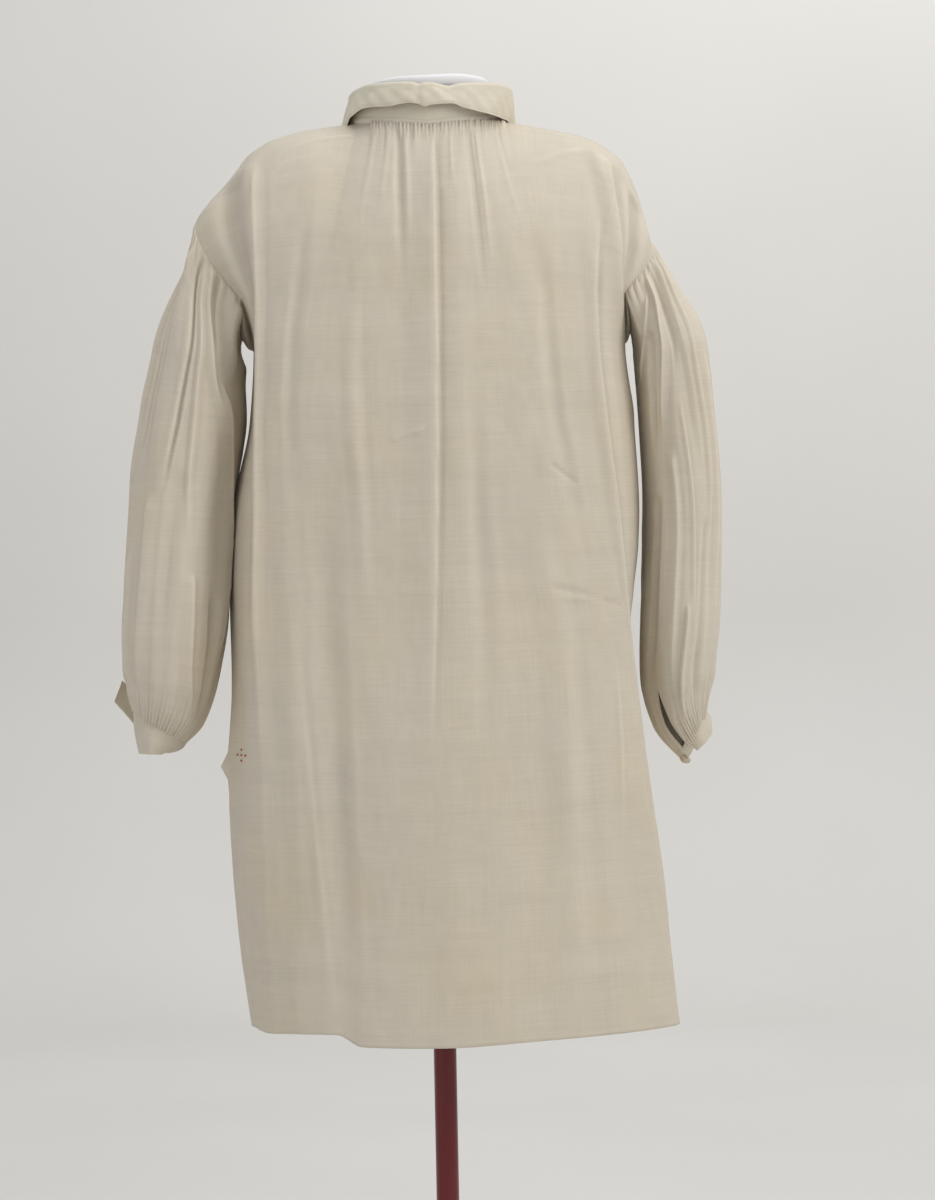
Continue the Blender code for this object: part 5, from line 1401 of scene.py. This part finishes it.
# angle is round the neck from the middle of the back, lean moves the roll in or out, top and
# edge are heights above the neck seam, and out is how far the fall's edge stands off.
CollarPlace = namedtuple("CollarPlace", "angle lean top edge out")
COLLAR_PLACES = [
    CollarPlace(-3.00, -0.0005, 0.0290, -0.0100, 0.0290),
    CollarPlace(-2.20, -0.0015, 0.0330, -0.0030, 0.0200),
    CollarPlace(-1.75, -0.0060, 0.0345, -0.0030, 0.0100),
    CollarPlace(-1.45, -0.0085, 0.0345, -0.0025, 0.0068),
    CollarPlace(-1.25, -0.0075, 0.0355, -0.0034, 0.0070),
    CollarPlace(-1.03, -0.0045, 0.0372, 0.0056, 0.0110),
    CollarPlace(-0.77, -0.0020, 0.0405, 0.0146, 0.0115),
    CollarPlace(-0.64, 0.0000, 0.0411, 0.0165, 0.0112),
    CollarPlace(-0.40, 0.0000, 0.0432, 0.0178, 0.0110),
    CollarPlace(-0.27, 0.0005, 0.0440, 0.0208, 0.0108),
    CollarPlace(-0.16, 0.0005, 0.0443, 0.0225, 0.0104),
    CollarPlace(-0.08, 0.0000, 0.0428, 0.0216, 0.0104),
    CollarPlace(-0.01, 0.0005, 0.0446, 0.0194, 0.0112),
    CollarPlace(0.07, 0.0005, 0.0442, 0.0206, 0.0114),
    CollarPlace(0.15, 0.0002, 0.0420, 0.0206, 0.0112),
    CollarPlace(0.29, -0.0010, 0.0388, 0.0200, 0.0108),
    CollarPlace(0.42, 0.0000, 0.0404, 0.0150, 0.0112),
    CollarPlace(0.55, 0.0003, 0.0402, 0.0112, 0.0115),
    CollarPlace(0.75, 0.0005, 0.0398, 0.0067, 0.0118),
    CollarPlace(1.06, 0.0015, 0.0384, 0.0020, 0.0092),
    CollarPlace(1.45, 0.0020, 0.0358, -0.0034, 0.0080),
    CollarPlace(2.00, 0.0010, 0.0330, -0.0060, 0.0190),
    CollarPlace(3.00, -0.0005, 0.0290, -0.0100, 0.0290),
]


def collar_lines(angles):
    """The underside of the collar from the stand's foot over the roll to the fall's edge."""
    shape = {
        name: curve(column(COLLAR_PLACES, "angle"), column(COLLAR_PLACES, name), angles)
        for name in ("lean", "top", "edge", "out")
    }
    lines = []
    rise = shape["top"] - COLLAR_TURN - NECKBAND_HEIGHT
    for part in np.linspace(0, 1, 12, endpoint=False):
        bow = 0.0006 * math.sin(math.pi * part) * (1 + 0.6 * np.sin(5 * angles))
        lines.append((shape["lean"] * part + bow, NECKBAND_HEIGHT + rise * part))
    for turn in np.linspace(0, math.pi, 11):
        out = shape["lean"] + COLLAR_TURN * (1 - math.cos(turn))
        lines.append((out, NECKBAND_HEIGHT + rise + COLLAR_TURN * math.sin(turn)))
    start = shape["lean"] + 2 * COLLAR_TURN
    drop = shape["edge"] - NECKBAND_HEIGHT - rise
    for part in np.linspace(0, 1, 24)[1:]:
        flare = part**1.6
        belly = 0.0014 * math.sin(math.pi * part)
        dent = -0.0010 * np.exp(-(((angles + 0.10) / 0.05) ** 2)) * math.sin(math.pi * part)
        dent = dent + 0.0012 * np.exp(-(((angles - 0.14) / 0.06) ** 2)) * math.sin(math.pi * part)
        dent = dent - 0.0008 * np.exp(-(((angles - 0.40) / 0.09) ** 2)) * math.sin(math.pi * part)
        wave = 0.0004 * np.sin(13 * angles + 5 * part) + 0.0003 * np.sin(29 * angles - 7 * part)
        out = start + (shape["out"] - start) * flare + belly + (dent + wave) * min(part * 4, 1)
        lines.append((out, NECKBAND_HEIGHT + rise + drop * part))
    return [np.stack([out, up], axis=-1) for out, up in lines]


def make_collar():
    angles, point, radial = neck_frame(460)
    lines = collar_lines(angles)
    under = []
    upper = []
    for index, line in enumerate(lines):
        before = lines[max(index - 1, 0)]
        after = lines[min(index + 1, len(lines) - 1)]
        along = unit(after - before)
        side = np.stack([-along[:, 1], along[:, 0]], axis=-1) * DOUBLED
        pinch = 1 - 0.45 * math.exp(-(((len(lines) - 1 - index) / 2.5) ** 2))
        under.append(place_line(point, radial, line))
        upper.append(place_line(point, radial, line + side * pinch))
    upper = np.array(upper)
    collar = folded_sheet("collar_linen", np.array(under), upper, (0.45, 0.064), COLLAR_LINEN, (0, -1, 0))
    edge = upper[-3]
    rows = stitches("collar_edge_stitches", [(edge, radial)], 0.0024, 0.0012, 0.00034, THREAD)
    return collar, rows


COLLAR_LINEN = linen("linen_collar", (0.660, 0.605, 0.485, 1.0), 0.45)
collar, rows = make_collar()
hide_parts("collar")
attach(collar, "root")
with_stitches(rows)


# Vent gussets. A tiny folded triangle of linen is let in at the top of each side vent to stop
# it tearing.
VENT_Z = 0.764
VENT_OFF = {-1: 0.0003, 1: 0.0014}
VENT_STAND = 0.0085
VENT_UNDER = 0.0045


def make_vent_gusset(hand):
    x = float(read(BACK, "z", side_name(hand), np.array(VENT_Z)))
    edge_x = x + hand * VENT_OFF[hand]
    rows = []
    for part in np.linspace(0, 1, 31):
        rise = 1 - abs(2 * part - 1)
        height = VENT_Z + 0.014 - 0.032 * part
        peak = edge_x + (x + hand * VENT_STAND - edge_x) * rise
        half = 0.0048 * rise + 0.0006
        across = np.linspace(-1, 1, 25)
        fold = 1 - np.abs(across) ** 1.4
        out = edge_x - hand * VENT_UNDER + (peak - edge_x + hand * VENT_UNDER) * fold
        rows.append(np.stack([out, across * half, np.full(25, height)], axis=-1))
    points = np.array(rows)
    across, down = np.meshgrid(np.linspace(0, 0.020, 25), np.linspace(0, 0.034, 31))
    name = "vent_gusset_linen_" + side_name(hand)
    # Painted highlight: the crease value lightens the colour along the middle fold.
    crease = np.exp(-(((across - 0.010) / 0.002) ** 2)) * 0.6
    return sheet_mesh(name, points, np.stack([across, down], axis=-1), crease, GUSSET_LINEN_LIGHTENED, (hand, 0, 0))


for hand in (-1, 1):
    vent = make_vent_gusset(hand)
    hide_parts("vent_gusset_" + side_name(hand))
    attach(vent, "root")


# Hems and vent edges. The body's foot and the open sides of its vents are turned in twice and
# felled with small slanted stitches, which show as a row of dots.
HEM_TURN = 0.988
VENT_TOP = 0.735


def surface_line(face, us, vs, off):
    """Places along the body's linen and the way out from each."""
    relief = back_relief(us, vs) if face < 0 else front_relief(us, vs)
    normal = body_normal(face, us, vs)
    points = body_point(face, us, vs) + normal * (relief + off)[:, None]
    points[:, 0] += side_swell(us, vs)
    return points, normal


hem_lines = []
for face in (-1, 1):
    across = np.linspace(-0.975, 0.975, 500)
    hem_lines.append(surface_line(face, across, np.full(500, HEM_TURN), 0.0))
    for side in (-0.966, 0.966):
        down = np.linspace(VENT_TOP, 0.985, 160)
        hem_lines.append(surface_line(face, np.full(160, side), down, 0.0))
with_stitches(stitches("hem_stitches", hem_lines, 0.0042, 0.0012, 0.00036, THREAD, slant=0.6))


# Sleeve stitches. Rows of gathering stitches hold the fullness above the left cuff, and the
# edges of both wrist slits are turned in and felled.
def sleeve_line(hand, around, down):
    around, down = np.broadcast_arrays(np.asarray(around, float), np.asarray(down, float))
    normal = sleeve_normal(hand, around, down)
    relief = sleeve_relief(hand, around, down)[..., None]
    return sleeve_point(hand, around, down) + normal * relief, normal


gather_lines = []
slit_lines = []
for hand in (-1, 1):
    for down in (0.958, 0.972, 0.986):
        gather_lines.append(sleeve_line(hand, np.linspace(0.22, 0.47, 90), down))
    down = np.linspace(SLIT_FROM + 0.005, 0.985, 60)
    open_by = SLIT_HALF * np.sin(math.pi * (down - SLIT_FROM) / SLIT_SPAN)
    for side in (-1, 1):
        slit_lines.append(sleeve_line(hand, SLIT_AT[hand] + side * (open_by + 0.016), down))
with_stitches(stitches("gathering_stitches", gather_lines, 0.0024, 0.0010, 0.00045, THREAD, slant=0.9))
with_stitches(stitches("slit_stitches", slit_lines, 0.0026, 0.0012, 0.00040, THREAD, slant=0.4))


# Red cross stitches. Such shirts carry a small stitched mark in red thread. This one is a
# plain diamond of five crosses.
RED_THREAD = thread_material("thread_red", (0.46, 0.045, 0.045, 1.0))
CROSS_SIZE = 0.0040
CROSS_PITCH = 0.0056
MARK_AT = (-0.918, 0.714)
MARK_HALF_WIDTH = 0.225
mark_lines = []
for column_at, row_at in ((0, -1), (-1, 0), (0, 0), (1, 0), (0, 1)):
    for lean in (-1, 1):
        ends = np.array([-1.0, 1.0])
        us = MARK_AT[0] + (column_at * CROSS_PITCH + ends * CROSS_SIZE / 2) / MARK_HALF_WIDTH
        vs = MARK_AT[1] + (row_at * CROSS_PITCH + lean * ends * CROSS_SIZE / 2) / BACK_LONG
        mark_lines.append(surface_line(-1, us, vs, 0.0004))
with_stitches(stitches("red_cross_stitches", mark_lines, 1.0, 0.0054, 0.00125, RED_THREAD, sink=0.2))


# Buttons. Small thread buttons: linen thread worked over a ring, sewn to the collar and the
# cuffs.
def thread_button_material():
    material, tree, shader = new_material("button_thread", Roughness=0.65, Sheen_Weight=0.15)
    place = tree.place()
    thread = tree.noise(place, (900.0, 900.0, 900.0), 2.0)
    colour = tree.mix(thread, (0.52, 0.47, 0.37, 1.0), (0.72, 0.67, 0.55, 1.0))
    tree.put(shader.inputs["Base Color"], colour)
    tree.put(shader.inputs["Normal"], tree.bump(thread, 0.5, 0.0002))
    return material


def repaint(node, material):
    """A CAD node keeps its shape and takes this finish."""
    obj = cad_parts[node]
    for slot in obj.material_slots:
        slot.material = material


BUTTON = thread_button_material()
for node in ("collar_button", "cuff_button_left", "cuff_button_right"):
    repaint(node, BUTTON)


# Dress form. A padded torso without limbs, covered in white cotton that is seamed down its
# middles. Its neck ends in a flat cap with a thin edge, which stands above the collar.
FORM_SQUARE = 0.92
COVER_INSET = 0.0006
FormSection = namedtuple("FormSection", "z half_width back front")
FORM = [
    FormSection(0.760, 0.150, 0.098, 0.092),
    FormSection(0.800, 0.162, 0.104, 0.096),
    FormSection(0.900, 0.160, 0.098, 0.092),
    FormSection(1.000, 0.146, 0.088, 0.088),
    FormSection(1.100, 0.152, 0.094, 0.093),
    FormSection(1.220, 0.160, 0.104, 0.096),
    FormSection(1.300, 0.170, 0.104, 0.092),
    FormSection(1.370, 0.1800, 0.094, 0.080),
    FormSection(1.4095, 0.1790, 0.080, 0.064),
    FormSection(1.4305, 0.1700, 0.066, 0.050),
    FormSection(1.4434, 0.1530, 0.056, 0.042),
    FormSection(1.4506, 0.1280, 0.050, 0.036),
    FormSection(1.4549, 0.1040, 0.048, 0.036),
    FormSection(1.4580, 0.0830, 0.048, 0.036),
    FormSection(1.4620, 0.0720, 0.054, 0.044),
    FormSection(1.476, 0.0690, 0.055, 0.048),
]
# The cap is an oval, and all above its band leans up to the right, as in the photograph.
CAP_RADIUS = 0.067
CAP_DEPTH = 0.055
CAP_BAND_TOP = 1.495
CAP_TILT = 0.035
CAP_PROFILE = [
    (0.0560, 1.4765), (0.0560, 1.4940), (0.0620, 1.4968), (0.0655, 1.4985), (0.0665, 1.5005),
    (0.0670, 1.5050), (0.0666, 1.5078), (0.0652, 1.5096), (0.0620, 1.5106), (0.0400, 1.5110),
    (0.0002, 1.5110),
]


def cotton_material():
    """White cotton jersey with a fine rib and a little dust."""
    material, tree, shader = new_material("cotton_cover", Sheen_Weight=0.1, Specular_IOR_Level=0.05)
    place = tree.place()
    rib = tree.noise(place, (1500.0, 1500.0, 300.0), 2.0)
    dust = tree.noise(place, (14.0, 14.0, 10.0), 4.0)
    colour = tree.mix(dust, (0.74, 0.73, 0.73, 1.0), (0.83, 0.82, 0.82, 1.0))
    tree.put(shader.inputs["Base Color"], colour)
    tree.put(shader.inputs["Roughness"], tree.span(dust, 0.3, 0.7, 0.75, 0.9))
    tree.put(shader.inputs["Normal"], tree.bump(rib, 0.3, 0.0002))
    return material


def ring_mesh(name, rings, material):
    """A smooth skin through closed rings, with both ends closed by a fan."""
    count = len(rings[0])
    points = [point for ring in rings for point in ring]
    faces = []
    for r in range(len(rings) - 1):
        for k in range(count):
            n = (k + 1) % count
            faces.append((r * count + k, r * count + n, (r + 1) * count + n, (r + 1) * count + k))
    faces.append(tuple(reversed(range(count))))
    faces.append(tuple((len(rings) - 1) * count + k for k in range(count)))
    obj = new_mesh(name, points, faces)
    obj.data.materials.append(material)
    return obj


def make_form_body():
    heights = column(FORM, "z")
    turns = np.linspace(0, 2 * math.pi, 128, endpoint=False)
    c = np.sign(np.cos(turns)) * np.abs(np.cos(turns)) ** FORM_SQUARE
    s = np.sign(np.sin(turns)) * np.abs(np.sin(turns)) ** FORM_SQUARE
    seam = -0.0007 * (np.exp(-((np.cos(turns) / 0.02) ** 2)) + np.exp(-((np.sin(turns) / 0.02) ** 2)))
    rings = []
    for z in np.linspace(heights[0], heights[-1], 90):
        wide = float(read(FORM, "z", "half_width", np.array(z)))
        front = float(read(FORM, "z", "front", np.array(z)))
        back_depth = float(read(FORM, "z", "back", np.array(z)))
        depth = np.where(s > 0, front, back_depth)
        inset = seam - COVER_INSET
        rings.append(np.stack([(wide + inset) * c, (depth + inset) * s, np.full_like(turns, z)], axis=-1))
    return ring_mesh("form_body_padding", rings, COTTON)


def make_neck_cap():
    turns = np.linspace(0, 2 * math.pi, 96, endpoint=False)
    rings = []
    for radius, z in CAP_PROFILE:
        puff = 0.0004 * np.sin(5 * turns) * min(radius / 0.06, 1)
        across = radius * np.cos(turns)
        tilt = CAP_TILT * across * (z > CAP_BAND_TOP)
        deep = CAP_DEPTH / CAP_RADIUS * radius * np.sin(turns)
        rings.append(np.stack([across, deep, z + puff + tilt], axis=-1))
    return ring_mesh("neck_cap_cover", rings, COTTON)


COTTON = cotton_material()
body = make_form_body()
cap = make_neck_cap()
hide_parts("form_body")
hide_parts("neck_cap")
for piece in (body, cap):
    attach(piece, "root")


# Pole and base. The form stands on a steel tube in deep red gloss paint. It goes up into a
# turned socket and down into a round black steel base.
def red_paint():
    material, tree, shader = new_material(
        "red_gloss_paint", Roughness=0.30, Coat_Weight=0.25, Coat_Roughness=0.08, Specular_IOR_Level=0.3
    )
    place = tree.place()
    cloud = tree.noise(place, (20.0, 20.0, 4.0), 3.0)
    colour = tree.mix(cloud, (0.125, 0.0070, 0.0075, 1.0), (0.150, 0.0095, 0.0100, 1.0))
    tree.put(shader.inputs["Base Color"], colour)
    orange_peel = tree.noise(place, (260.0, 260.0, 120.0), 2.0)
    tree.put(shader.inputs["Normal"], tree.bump(orange_peel, 0.15, 0.0003))
    return material


def black_steel():
    material, tree, shader = new_material("black_steel", Metallic=0.0, Specular_IOR_Level=0.5)
    place = tree.place()
    tone_layer = tree.noise(place, (40.0, 40.0, 40.0), 5.0)
    colour = tree.mix(tone_layer, (0.020, 0.020, 0.021, 1.0), (0.036, 0.035, 0.034, 1.0))
    tree.put(shader.inputs["Base Color"], colour)
    tree.put(shader.inputs["Roughness"], tree.span(tone_layer, 0.35, 0.7, 0.30, 0.52))
    return material


repaint("pole", red_paint())
BLACK = black_steel()
repaint("form_socket", BLACK)
repaint("base", BLACK)
